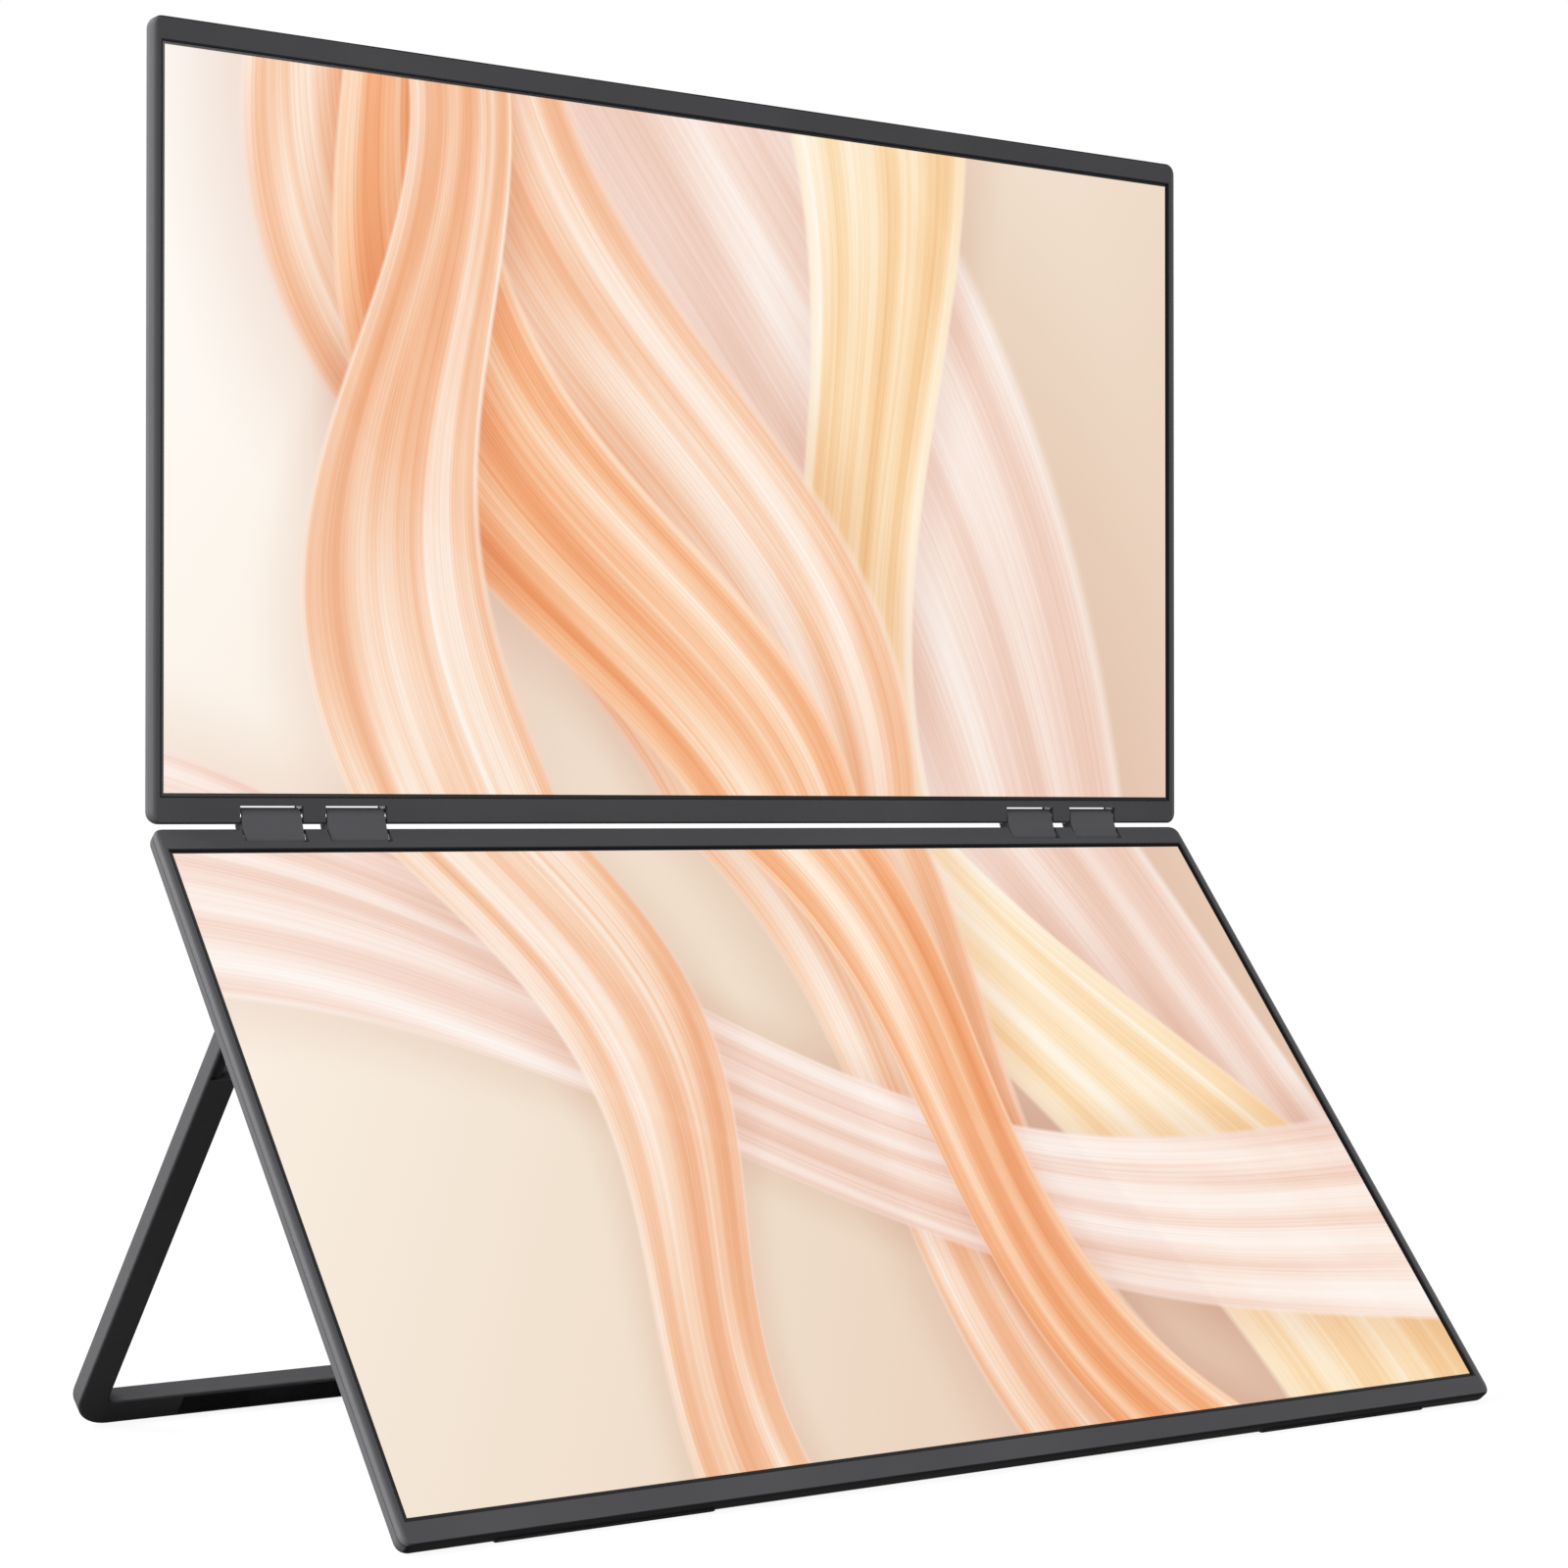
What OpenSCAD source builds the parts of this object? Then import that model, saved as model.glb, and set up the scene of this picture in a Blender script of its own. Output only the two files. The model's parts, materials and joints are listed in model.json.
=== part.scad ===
// Folding pair of portable screens: a lower screen that leans back on a flat-bar kickstand,
// and an upper screen carried on two double-axis hinges.
// Frame: +X to the right as seen by the user, -Y towards the user, +Z up, floor at Z = 0.

/* [Screens] */
// Width of the lit picture
active_w = 344.2; // [310:0.1:420]
// Height of the lit picture
active_h = 193.6; // [180:0.1:260]
// Frame beside the picture
side_bezel = 3.8; // [3.6:0.1:8]
// Frame along the edge with the hinges
hinge_bezel = 8.1; // [7.8:0.1:15]
// Frame along the edge away from the hinges
far_bezel = 7.3; // [6.6:0.1:15]
// Thickness of each screen
screen_t = 5.4; // [5.3:0.1:7]
// Corner radius of the casing, seen from the front
corner_r = 3.2; // [3:0.1:5]
// Rounding along the casing's back edge
back_r = 2.6; // [1.6:0.1:2.8]
// Chamfer round the casing's front edge
front_chamfer = 0.6; // [0.4:0.1:1]
// Side wall of the casing
side_wall = 1.3; // [1:0.1:1.5]
// Wall of the casing at the edge away from the hinges
far_wall = 2.4; // [2.2:0.1:3.5]
// Back wall of the casing
back_wall = 1; // [0.9:0.1:1.1]
// Radius of the casing's inner corners
inner_r = 1.5; // [1.2:0.1:2]

/* [Bezel and panel] */
// Depth of the front frame at its rim
bezel_t = 1.2; // [1.1:0.1:1.3]
// Thickness of the lip over the panel
lip_t = 0.5; // [0.4:0.1:0.6]
// Width of the lip over the panel
lip_w = 1.2; // [0.8:0.1:1.4]
// Black border between the picture and the frame
black_border = 0.8; // [0.5:0.1:1]
// Thickness of the panel's glass sandwich
display_t = 1.1; // [0.8:0.1:1.1]
// Thickness of the backlight tray
backlight_t = 1.6; // [1.2:0.1:1.6]
// Thickness of the panel's driver board
driver_t = 0.7; // [0.5:0.1:0.8]
// Width of the driver board, away from the hinge edge
driver_h = 12; // [8:1:20]
// Distance of the driver board's ends from the hinge brackets
driver_gap = 12.5; // [5:0.5:40]
// Width of one flexible tail of the panel
flex_w = 24; // [10:1:30]
// Thickness of a flexible tail
flex_t = 0.15; // [0.1:0.05:0.2]

/* [Fold] */
// Angle between the two screens, as they stand
fold_angle = 140.4; // [110:0.1:160]
// Distance between the two axes of a hinge
axis_gap = 6.57; // [6.4:0.01:7.5]
// Depth of an axis behind the front face
axis_depth = 2.7; // [2.65:0.05:2.9]
// Distance of an axis from the casing's edge
axis_inset = 2; // [1.5:0.1:2]

/* [Hinges] */
// Distance of each hinge's middle from the casing's side
hinge_inset = 47.1; // [46:0.1:52]
// Width of one link
link_w = 17.5; // [12:0.5:19]
// Radius of a link's rounded ends
link_r = 2.4; // [2:0.1:2.5]
// Chamfer along a link's side edges
link_chamfer = 0.3; // [0.1:0.1:0.5]
// Width of the tongue between the two links
tongue_w = 6.5; // [5:0.5:8]
// Width of the outer ears of a bracket
ear_w = 4; // [3:0.5:5]
// Gap on each side of a link
link_gap = 0.5; // [0.4:0.1:0.8]
// Clearance between a link's end and the end of its notch
notch_gap = 0.4; // [0.4:0.1:0.5]
// Radius of the hinge shafts
shaft_r = 1.1; // [0.8:0.05:1.15]
// Running clearance of the links on the shafts
running_gap = 0.03; // [0.01:0.01:0.06]
// Clearance of the shafts in the brackets
press_gap = 0.01; // [0.01:0.01:0.02]
// Outer radius of the friction washers
washer_r = 2.1; // [1.6:0.1:2.3]
// Thickness of the friction washers
washer_t = 0.4; // [0.3:0.05:0.4]
// Thickness of a bracket's leaf
leaf_t = 0.7; // [0.5:0.1:0.8]
// Reach of a bracket's leaf from the casing's edge
leaf_h = 21; // [16:1:30]
// Depth of the bar that joins a bracket's ears
comb_bar = 1.2; // [1:0.1:1.4]

/* [Back housing] */
// Height of the housing behind the lower screen
housing_h = 6.4; // [6:0.1:8]
// Distance of the housing from the hinge edge
housing_top = 10; // [8:1:14]
// Height of the housing's wide part
housing_shoulder = 38; // [36:1:40]
// Corner radius of the housing
housing_r = 4; // [3:0.5:6]
// Rounding along the housing's back edge
housing_edge_r = 1.6; // [1:0.1:2]
// Wall of the housing
housing_wall = 1.2; // [1:0.1:1.5]
// Gap between the housing and the folded kickstand
housing_gap = 1.5; // [1:0.1:3]
// Radius of the housing's screw bosses
boss_r = 3; // [2.5:0.1:3.5]
// Width of a ventilation slot
vent_w = 2; // [1.2:0.1:3]
// Length of a ventilation slot
vent_l = 16; // [10:1:22]
// Distance of the first ventilation slot from the housing's side
vent_margin = 12; // [6:1:20]
// Distance between ventilation slots
vent_pitch = 5; // [4:0.5:7]
// Number of ventilation slots
vent_count = 14; // [6:1:16]
// Width of a sound slot
sound_w = 1.4; // [1:0.1:2]
// Length of a sound slot
sound_l = 8; // [5:1:10]
// Distance between sound slots
sound_pitch = 3.2; // [2.8:0.1:4]
// Number of sound slots over each speaker
sound_count = 10; // [5:1:12]

/* [Electronics] */
// Thickness of the circuit boards
board_t = 1; // [0.8:0.1:1.2]
// Height of the boards above the casing's back
board_gap = 0.5; // [0.3:0.1:0.6]
// Distance of the boards and speakers from the housing's walls
board_margin = 1; // [0.8:0.1:1.2]
// Width of the slot for the panel's wires
wire_slot_w = 30; // [20:1:40]
// Height of the slot for the panel's wires
wire_slot_h = 8; // [6:1:12]
// Length of the main board
main_board_w = 96; // [80:1:120]
// Length of the key board
key_board_w = 40; // [30:1:60]
// Length of a speaker
speaker_w = 42; // [34:1:60]
// Width of a speaker
speaker_h = 15; // [12:1:18]
// Thickness of a speaker
speaker_t = 4.2; // [3:0.1:4.6]
// Corner radius of a speaker
speaker_r = 1.5; // [1:0.1:3]
// Height of the port centres above the casing's back
port_height = 3.3; // [3.2:0.05:3.5]
// Width of the round-ended data port
usb_w = 8.94; // [8.94]
// Height of the round-ended data port
usb_h = 3.26; // [3.26]
// Depth of the round-ended data port
usb_depth = 7.3; // [6.5:0.1:9]
// Wall of the port shells
shell_wall = 0.3; // [0.25:0.05:0.35]
// Thickness of the contact blade in a port
blade_t = 0.7; // [0.6:0.05:0.8]
// Distance of a contact blade behind the port's mouth
blade_setback = 0.8; // [0.6:0.1:1.5]
// Distance of a contact blade from the sides of its port
blade_side = 1.2; // [1.1:0.1:1.8]
// Width of the video port's opening
video_w = 11.2; // [11.2]
// Height of the video port
video_h = 3.2; // [3.2]
// Depth of the video port
video_depth = 7.5; // [6.5:0.1:9]
// Radius of the sound jack's bore
jack_bore_r = 1.8; // [1.8]
// Length of the sound jack's bore
jack_depth = 13; // [12:0.5:14]
// Radius of the sound jack's nose
jack_nose_r = 2.3; // [2.2:0.05:2.35]
// Clearance round the ports in the housing
port_gap = 0.2; // [0.1:0.05:0.3]

/* [Buttons] */
// Length of the power button
power_w = 7; // [5:0.5:8]
// Length of the menu rocker
rocker_w = 11; // [9:0.5:12]
// Height of the buttons
button_h = 2.6; // [2:0.1:3]
// How far the buttons stand out of the housing
button_proud = 0.6; // [0.5:0.1:0.8]
// Clearance round the buttons in the housing
button_gap = 0.3; // [0.25:0.05:0.35]
// Play of the buttons behind the housing's wall
button_play = 0.3; // [0.25:0.05:0.4]
// Thickness of the flange that keeps a button in
flange_t = 0.8; // [0.6:0.1:1]
// How much larger the flange is than its button
flange_rim = 0.8; // [0.6:0.1:1]
// Size of the switches behind the buttons
switch_size = 3; // [2.5:0.1:3.4]
// Travel of the power button
button_travel = 0.4; // [0.3:0.05:0.45]

/* [Kickstand] */
// Distance of the kickstand's outer side from the casing's side
stand_inset = 6.2; // [6:0.1:12]
// Width of the kickstand's legs and foot
stand_bar_w = 8.7; // [8.4:0.1:12]
// Thickness of the kickstand
stand_t = 5.5; // [5:0.1:5.8]
// Distance of the kickstand's pivots from the hinge edge
pivot_drop = 56.2; // [54:0.1:60]
// Distance of the folded kickstand's foot from the casing's far edge
stand_far_inset = 3.8; // [2.5:0.1:10]
// Height of the pivots above the casing's back
pivot_height = 3.25; // [3.2:0.05:3.4]
// Outer radius of the kickstand's corners
stand_corner_r = 11; // [10:0.5:16]
// Rounding along the kickstand's edges
stand_edge_r = 0.6; // [0.3:0.1:1]
// Radius of the pivot pins
pin_r = 1; // [0.8:0.05:1.2]
// Width of the leg's ear that turns on the pin
leg_ear_w = 4; // [3.5:0.1:4.5]
// Wall of the ear outside the pin's end
ear_cap = 1; // [0.6:0.1:1.5]
// Length of the cut-away beside the ear
relief_l = 17.5; // [16:0.5:22]
// Depth of the shallow recess in front of the ear
ear_recess = 0.8; // [0.4:0.1:1]
// Clearance between the leg and its bracket
bracket_gap = 0.4; // [0.3:0.05:0.5]
// Half the length of the foot pad
pad_half_w = 138; // [100:1:145]
// How far the foot pad stands out of the foot
pad_proud = 0.25; // [0.15:0.05:0.3]
// Depth of the foot pad's groove
pad_groove = 0.8; // [0.5:0.1:1.2]
// Margin of the foot pad on the foot's face
pad_margin = 1; // [0.8:0.1:2]

/* [Feet] */
// Length of a rubber strip under the lower screen
foot_w = 60; // [30:1:90]
// Distance of each strip's middle from the casing's side
foot_inset = 56; // [50:1:80]
// How far the strips stand out
foot_proud = 0.4; // [0.3:0.1:0.8]
// Depth of a strip's groove
foot_groove = 0.6; // [0.4:0.1:0.8]

/* [Screws] */
// Radius of a screw's thread
screw_r = 1; // [0.8:0.05:1]
// Radius of a screw's head
screw_head_r = 1.75; // [1.6:0.05:1.8]
// Height of a screw's head
screw_head_t = 0.9; // [0.7:0.1:1]
// Height of a flat screw's head inside the casing
flat_head_t = 0.2; // [0.15:0.05:0.25]
// Skin left outside the end of a blind screw hole
skin_t = 0.2; // [0.15:0.05:0.3]
// Clearance between pieces that lie together
seat_gap = 0.05; // [0.03:0.01:0.08]

/* [Hidden] */
$fn = 48;

// Outer size of a screen, and the opening of its front frame
screen_w = active_w + 2 * side_bezel;
screen_h = active_h + hinge_bezel + far_bezel;
opening_w = active_w + 2 * black_border;
opening_h = active_h + 2 * black_border;
picture_mid = hinge_bezel + active_h / 2;
panel_w = opening_w + 2 * lip_w;
panel_h = opening_h + 2 * lip_w;
panel_edge = picture_mid - panel_h / 2;

// Depths of the layers inside a screen, counted from its front face
display_front = lip_t + seat_gap;
display_back = display_front + display_t;
backlight_back = display_back + backlight_t;
floor_front = screen_t - back_wall;
leaf_back = floor_front - seat_gap;
leaf_front = leaf_back - leaf_t;
driver_back = floor_front - 2 * seat_gap;

// Hinge layout, across its middle
hinge_x = screen_w / 2 - hinge_inset;
link_in = tongue_w / 2 + link_gap;
link_out = link_in + link_w;
ear_in = link_out + link_gap;
ear_out = ear_in + ear_w;
notch_d = axis_inset + link_r + notch_gap;
driver_w = 2 * (hinge_x - ear_out - driver_gap);

// Middle of a rubber strip under the lower screen
foot_x = screen_w / 2 - foot_inset;

// Layout of the fold: the upper screen stands upright and the lower one leans back
half_fold = (180 - fold_angle) / 2;
lean = 180 - fold_angle;
foot_centre_v = screen_h - back_r;
foot_centre_d = screen_t - back_r;
lower_z = foot_centre_v * cos(lean) + foot_centre_d * sin(lean) + back_r + foot_proud;

// Kickstand: its length and the angle at which its foot meets the floor
stand_half_w = screen_w / 2 - stand_inset;
stand_l = screen_h - stand_far_inset - pivot_drop;
pivot_d = screen_t + pivot_height;
pivot_z = lower_z - pivot_d * sin(lean) - pivot_drop * cos(lean);
foot_arm = stand_l - stand_edge_r;
foot_rise = stand_t / 2 - stand_edge_r;
stand_slope = asin((pivot_z - stand_edge_r) / norm([foot_arm, foot_rise])) - atan2(foot_rise, foot_arm);
leg_in = stand_half_w - stand_bar_w;

// The middle of the whole part lies at Y = 0
front_reach = (screen_h - front_chamfer) * sin(lean);
pivot_y = pivot_d * cos(lean) - pivot_drop * sin(lean);
back_reach = pivot_y + foot_arm * cos(stand_slope) + foot_rise * sin(stand_slope) + stand_edge_r;
lower_y = (front_reach - back_reach) / 2;

// World places of the two hinge axes and of the upper screen
lower_axis_y = lower_y + axis_depth * cos(lean) - axis_inset * sin(lean);
lower_axis_z = lower_z - axis_depth * sin(lean) - axis_inset * cos(lean);
upper_axis_y = lower_axis_y + axis_gap * sin(half_fold);
upper_axis_z = lower_axis_z + axis_gap * cos(half_fold);
upper_y = upper_axis_y - axis_depth;
upper_z = upper_axis_z - axis_inset;

// Back housing
housing_wide = 2 * stand_half_w;
housing_narrow = 2 * (leg_in - housing_gap);
housing_bottom = screen_h - stand_far_inset - stand_bar_w - housing_gap;
shoulder_v = housing_top + housing_shoulder;
narrow_top = housing_top + housing_shoulder / 2;
narrow_h = housing_bottom - narrow_top;
housing_back = screen_t + housing_h;
cavity_back = housing_back - back_wall;
port_d = screen_t + port_height;
board_front = screen_t + board_gap;
board_back = board_front + board_t;
board_h = housing_shoulder - 2 * (housing_wall + board_margin);
board_v = housing_top + housing_wall + board_margin;
side_face = housing_wide / 2;
side_inner = side_face - housing_wall;
board_right = side_inner - board_margin;

// Ports on the right and controls on the left, measured from the hinge edge
port_side_gap = (housing_shoulder - 2 * usb_w - video_w) / 4;
usb_v = [housing_top + port_side_gap + usb_w / 2,
    housing_top + 2 * port_side_gap + 3 * usb_w / 2];
video_v = shoulder_v - port_side_gap - video_w / 2;
control_gap = (housing_shoulder - power_w - rocker_w - 2 * jack_nose_r) / 4;
power_v = housing_top + control_gap + power_w / 2;
rocker_v = power_v + power_w / 2 + control_gap + rocker_w / 2;
jack_v = shoulder_v - control_gap - jack_nose_r;
switch_front = housing_wall + button_play + flange_t + button_travel;
jack_body_w = 2 * jack_nose_r + 1;
jack_body_h = 2 * (cavity_back - port_d);
speaker_x = housing_narrow / 2 - housing_wall - 2 * (boss_r + board_margin) - speaker_w / 2;
speaker_v = housing_bottom - housing_wall - speaker_h / 2 - board_margin;
boss_x = [housing_narrow / 2 - housing_wall - board_margin - boss_r, housing_narrow / 6];
boss_v = [housing_bottom - housing_wall - board_margin - boss_r,
    board_v + board_h + board_margin + boss_r];

// Screws through a bracket's leaf, and the kickstand's brackets beside the legs' ears
leaf_screw_v = [leaf_h / 2 + 1, leaf_h - 3];
bracket_w = stand_bar_w - leg_ear_w - 2 * bracket_gap;
bracket_x = leg_in + bracket_gap + bracket_w / 2;
bracket_l = relief_l - bracket_gap - 1;
bracket_h = pivot_height + stand_t / 2 - bracket_gap;
bracket_screw_v = [pivot_drop + bracket_l / 2 - screw_r / 2,
    pivot_drop + bracket_l - screw_head_r - bracket_gap];

// Chips on the main board: distance from its right end, distance from its top, size
chips = [[30, 18, 14], [50, 22, 9], [66, 14, 8], [80, 22, 6]];
chip_t = 1;

// Overrun of a cutting shape, and a size larger than any screen
cut = 1;
big = 2 * screen_w;

metal = "#5a5a5d";
dark_metal = "#3c3c3f";
frame_grey = "#4b4b4d";
black_plastic = "#26272a";
steel = "#9a9ca0";
board_green = "#2f5a40";
rubber = "#1c1c1e";

// ---------------------------------------------------------------- general shapes

// Plate frame: X across, Y away from the hinge edge, depth counted backwards from the front face
module layer(from, to) translate([0, 0, -to]) linear_extrude(to - from) children();

module round_rect(w, h, r) {
    square([w - 2 * r, h], center = true);
    square([w, h - 2 * r], center = true);
    for (x = [-1, 1], y = [-1, 1])
        translate([x * (w / 2 - r), y * (h / 2 - r)]) circle(r);
}

module pill(w, h) {
    square([w - h, h], center = true);
    for (x = [-1, 1]) translate([x * (w - h) / 2, 0]) circle(h / 2);
}

// Section of a plate's rim: rounded at the back, chamfered at the front
module rim_section(reach, t, r, chamfer) {
    difference() {
        union() {
            translate([0, -t]) square([reach - r, t]);
            translate([0, -(t - r)]) square([reach, t - r]);
            translate([reach - r, -(t - r)]) intersection() {
                circle(r);
                translate([0, -r]) square(r);
            }
        }
        if (chamfer > 0)
            translate([reach, 0]) rotate(45) square(chamfer * sqrt(2), center = true);
    }
}

// Plate whose rim section is carried round a rounded rectangle
module rimmed_plate(w, h, corner, t, r, chamfer) {
    layer(0, t) square([w - 2 * corner, h - 2 * corner], center = true);
    for (k = [0:3]) {
        across = k % 2 == 0 ? w : h;
        along = k % 2 == 0 ? h : w;
        rotate(90 * k) translate([across / 2 - corner, 0, 0]) rotate([90, 0, 0])
            linear_extrude(along - 2 * corner, center = true) rim_section(corner, t, r, chamfer);
        rotate(90 * k) translate([across / 2 - corner, along / 2 - corner, 0])
            rotate_extrude(angle = 90) rim_section(corner, t, r, chamfer);
    }
}

// Cylinder along X
module rod(r, length) rotate([0, 90, 0]) cylinder(h = length, r = r, center = true);

// Both ends of the part, mirrored about the centre line
module both_sides() {
    children();
    mirror([1, 0, 0]) children();
}

// Both hinges
module both_hinges() {
    for (side = [-1, 1]) translate([side * hinge_x, 0, 0]) children();
}

module place_lower()
    translate([0, lower_y, lower_z]) rotate([-lean, 0, 0]) mirror([0, 0, 1])
        rotate([90, 0, 0]) children();

module place_upper()
    translate([0, upper_y, upper_z]) rotate([90, 0, 0]) children();

// Kickstand frame: X across, Y from the foot's edge up the leg, Z out of its front face
module place_stand()
    translate([0, lower_y + pivot_y, pivot_z]) rotate([180 - stand_slope, 0, 0])
        translate([0, -stand_l, -stand_t / 2]) children();

// ---------------------------------------------------------------- one screen

module casing_form()
    translate([0, screen_h / 2, 0])
        rimmed_plate(screen_w, screen_h, corner_r, screen_t, back_r, front_chamfer);

// Notches for the links, right through the casing's edge
module link_notches() {
    both_hinges() both_sides()
        layer(-cut, screen_t + cut)
            translate([link_in - link_gap, -cut]) square([link_w + 2 * link_gap, notch_d + cut]);
}

// Room for a bracket's ears in the wall at the hinge edge
module ear_slots() {
    both_hinges()
        layer(bezel_t, floor_front)
            translate([-ear_out - seat_gap, -cut])
                square([2 * (ear_out + seat_gap), side_wall + 2 * cut]);
}

module leaf_screw_places() {
    both_hinges()
        for (x = [-1, 1], v = leaf_screw_v) translate([x * ear_in, v, 0]) children();
}

module bezel() {
    difference() {
        intersection() {
            casing_form();
            layer(-cut, bezel_t) square(big, center = true);
        }
        translate([0, picture_mid, 0]) {
            layer(-cut, bezel_t + cut) square([opening_w, opening_h], center = true);
            layer(lip_t, bezel_t + cut)
                square([panel_w + 2 * seat_gap, panel_h + 2 * seat_gap], center = true);
        }
        link_notches();
    }
}

module back_cover() {
    cavity_w = screen_w - 2 * side_wall;
    cavity_h = screen_h - side_wall - far_wall;
    difference() {
        intersection() {
            casing_form();
            layer(bezel_t, screen_t + cut) square(big, center = true);
        }
        layer(bezel_t - cut, floor_front)
            translate([0, side_wall + cavity_h / 2]) round_rect(cavity_w, cavity_h, inner_r);
        link_notches();
        ear_slots();
        leaf_screw_places() layer(floor_front - cut, screen_t - skin_t) circle(screw_r + seat_gap);
    }
}

module display()
    translate([0, picture_mid, 0])
        layer(display_front, display_back) square([panel_w, panel_h], center = true);

module backlight()
    translate([0, picture_mid, 0])
        layer(display_back, backlight_back) square([panel_w, panel_h], center = true);

module driver_board()
    layer(driver_back - driver_t, driver_back)
        translate([-driver_w / 2, panel_edge]) square([driver_w, driver_h]);

module flex_tails()
    for (k = [-1:1])
        layer(bezel_t + seat_gap, driver_back)
            translate([k * driver_w / 3 - flex_w / 2, panel_edge - flex_t - seat_gap])
                square([flex_w, flex_t]);

// Steel comb in the casing's edge: three ears for the shaft, joined by a bar and a leaf
module hinge_brackets() {
    both_hinges() difference() {
        union() {
            layer(bezel_t + seat_gap, leaf_back) {
                translate([-tongue_w / 2, 0]) square([tongue_w, notch_d + comb_bar]);
                both_sides() translate([ear_in, 0]) square([ear_w, notch_d + comb_bar]);
                translate([-ear_out, notch_d]) square([2 * ear_out, comb_bar]);
            }
            layer(leaf_front, leaf_back)
                translate([-ear_out, notch_d]) square([2 * ear_out, leaf_h - notch_d]);
        }
        translate([0, axis_inset, -axis_depth]) rod(shaft_r + press_gap, big);
        for (x = [-1, 1], v = leaf_screw_v)
            translate([x * ear_in, v, 0]) layer(0, screen_t) circle(screw_r + seat_gap);
    }
}

module hinge_shafts()
    both_hinges() translate([0, axis_inset, -axis_depth]) rod(shaft_r, 2 * (ear_out - press_gap));

module bracket_screws()
    leaf_screw_places() {
        layer(leaf_front - flat_head_t, leaf_front) circle(screw_head_r);
        layer(leaf_front, screen_t - skin_t - seat_gap) circle(screw_r);
    }

// ---------------------------------------------------------------- hinge links

// Half of a link's section across its width, chamfered at the side edges
module link_section()
    polygon([[0, -link_w / 2], [link_r - link_chamfer, -link_w / 2],
        [link_r, -link_w / 2 + link_chamfer], [link_r, link_w / 2 - link_chamfer],
        [link_r - link_chamfer, link_w / 2], [0, link_w / 2]]);

// Link from the lower axis to the upper one, with a running bore at each end
module links()
    translate([0, lower_axis_y, lower_axis_z]) rotate([-half_fold, 0, 0])
        both_sides() translate([link_in + link_w / 2, 0, 0]) difference() {
            union() {
                for (end = [0, 1])
                    translate([0, 0, end * axis_gap]) rotate([0, 90, 0])
                        rotate_extrude() link_section();
                linear_extrude(axis_gap) for (turn = [-90, 90]) rotate(turn) link_section();
            }
            for (end = [0, 1])
                translate([0, 0, end * axis_gap]) rod(shaft_r + running_gap, link_w + cut);
        }

module washer_ring()
    rotate([0, 90, 0]) linear_extrude(washer_t, center = true) difference() {
        circle(washer_r);
        circle(shaft_r + running_gap);
    }

// ---------------------------------------------------------------- node modules, screens

module foot_band(r, length)
    both_sides() translate([foot_x, foot_centre_v, -foot_centre_d]) rod(r, length);

// Quarter of the casing's rounded edge that a rubber strip covers
module foot_quarter()
    translate([-big / 2, foot_centre_v, -foot_centre_d - big]) cube(big);

module lower_back_cover()
    color(metal) place_lower() difference() {
        back_cover();
        intersection() {
            difference() {
                foot_band(back_r + cut, foot_w);
                foot_band(back_r - foot_groove, foot_w + cut);
            }
            foot_quarter();
        }
        // Way through for the wires from the main board to the panel
        layer(floor_front - cut, screen_t + cut) translate([0, board_v + board_h / 2])
            round_rect(wire_slot_w, wire_slot_h, wire_slot_h / 4);
        housing_screw_places() layer(floor_front + skin_t, screen_t + cut)
            circle(screw_r + seat_gap);
        stand_screw_places() layer(floor_front + skin_t, screen_t + cut)
            circle(screw_r + seat_gap);
    }

module rubber_feet()
    color(rubber) place_lower() intersection() {
        difference() {
            foot_band(back_r + foot_proud, foot_w);
            foot_band(back_r - foot_groove, foot_w + cut);
        }
        foot_quarter();
    }

module lower_bezel() color(frame_grey) place_lower() bezel();
module lower_display() color("#efe0d2") place_lower() display();
module lower_backlight() color("silver") place_lower() backlight();
module lower_driver_board() color(board_green) place_lower() driver_board();
module lower_flex_tails() color("#b5793a") place_lower() flex_tails();
module lower_hinge_brackets() color(steel) place_lower() hinge_brackets();
module lower_hinge_shafts() color("silver") place_lower() hinge_shafts();
module lower_bracket_screws() color("silver") place_lower() bracket_screws();

module upper_back_cover() color(metal) place_upper() back_cover();
module upper_bezel() color(frame_grey) place_upper() bezel();
module upper_display() color("#efe0d2") place_upper() display();
module upper_backlight() color("silver") place_upper() backlight();
module upper_driver_board() color(board_green) place_upper() driver_board();
module upper_flex_tails() color("#b5793a") place_upper() flex_tails();
module upper_hinge_brackets() color(steel) place_upper() hinge_brackets();
module upper_hinge_shafts() color("silver") place_upper() hinge_shafts();
module upper_bracket_screws() color("silver") place_upper() bracket_screws();

module left_links() color(frame_grey) translate([-hinge_x, 0, 0]) links();
module right_links() color(frame_grey) translate([hinge_x, 0, 0]) links();

module friction_washers()
    color("silver") both_hinges()
        translate([0, lower_axis_y, lower_axis_z]) rotate([-half_fold, 0, 0])
            for (end = [0, 1], x = [link_in - link_gap / 2, link_out + link_gap / 2])
                both_sides() translate([x, 0, end * axis_gap]) washer_ring();

// ---------------------------------------------------------------- back housing

// The narrow part runs from the middle of the wide one
module housing_plan(inset) {
    translate([0, housing_top + housing_shoulder / 2])
        round_rect(housing_wide - 2 * inset, housing_shoulder - 2 * inset, housing_r - inset);
    translate([0, narrow_top + narrow_h / 2])
        round_rect(housing_narrow - 2 * inset, narrow_h - 2 * inset, housing_r - inset);
}

module housing_form() {
    translate([0, housing_top + housing_shoulder / 2, -screen_t])
        rimmed_plate(housing_wide, housing_shoulder, housing_r, housing_h, housing_edge_r, 0);
    translate([0, narrow_top + narrow_h / 2, -screen_t])
        rimmed_plate(housing_narrow, narrow_h, housing_r, housing_h, housing_edge_r, 0);
}

module housing_screw_places()
    both_sides() for (x = boss_x, v = boss_v) translate([x, v, 0]) children();

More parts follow.
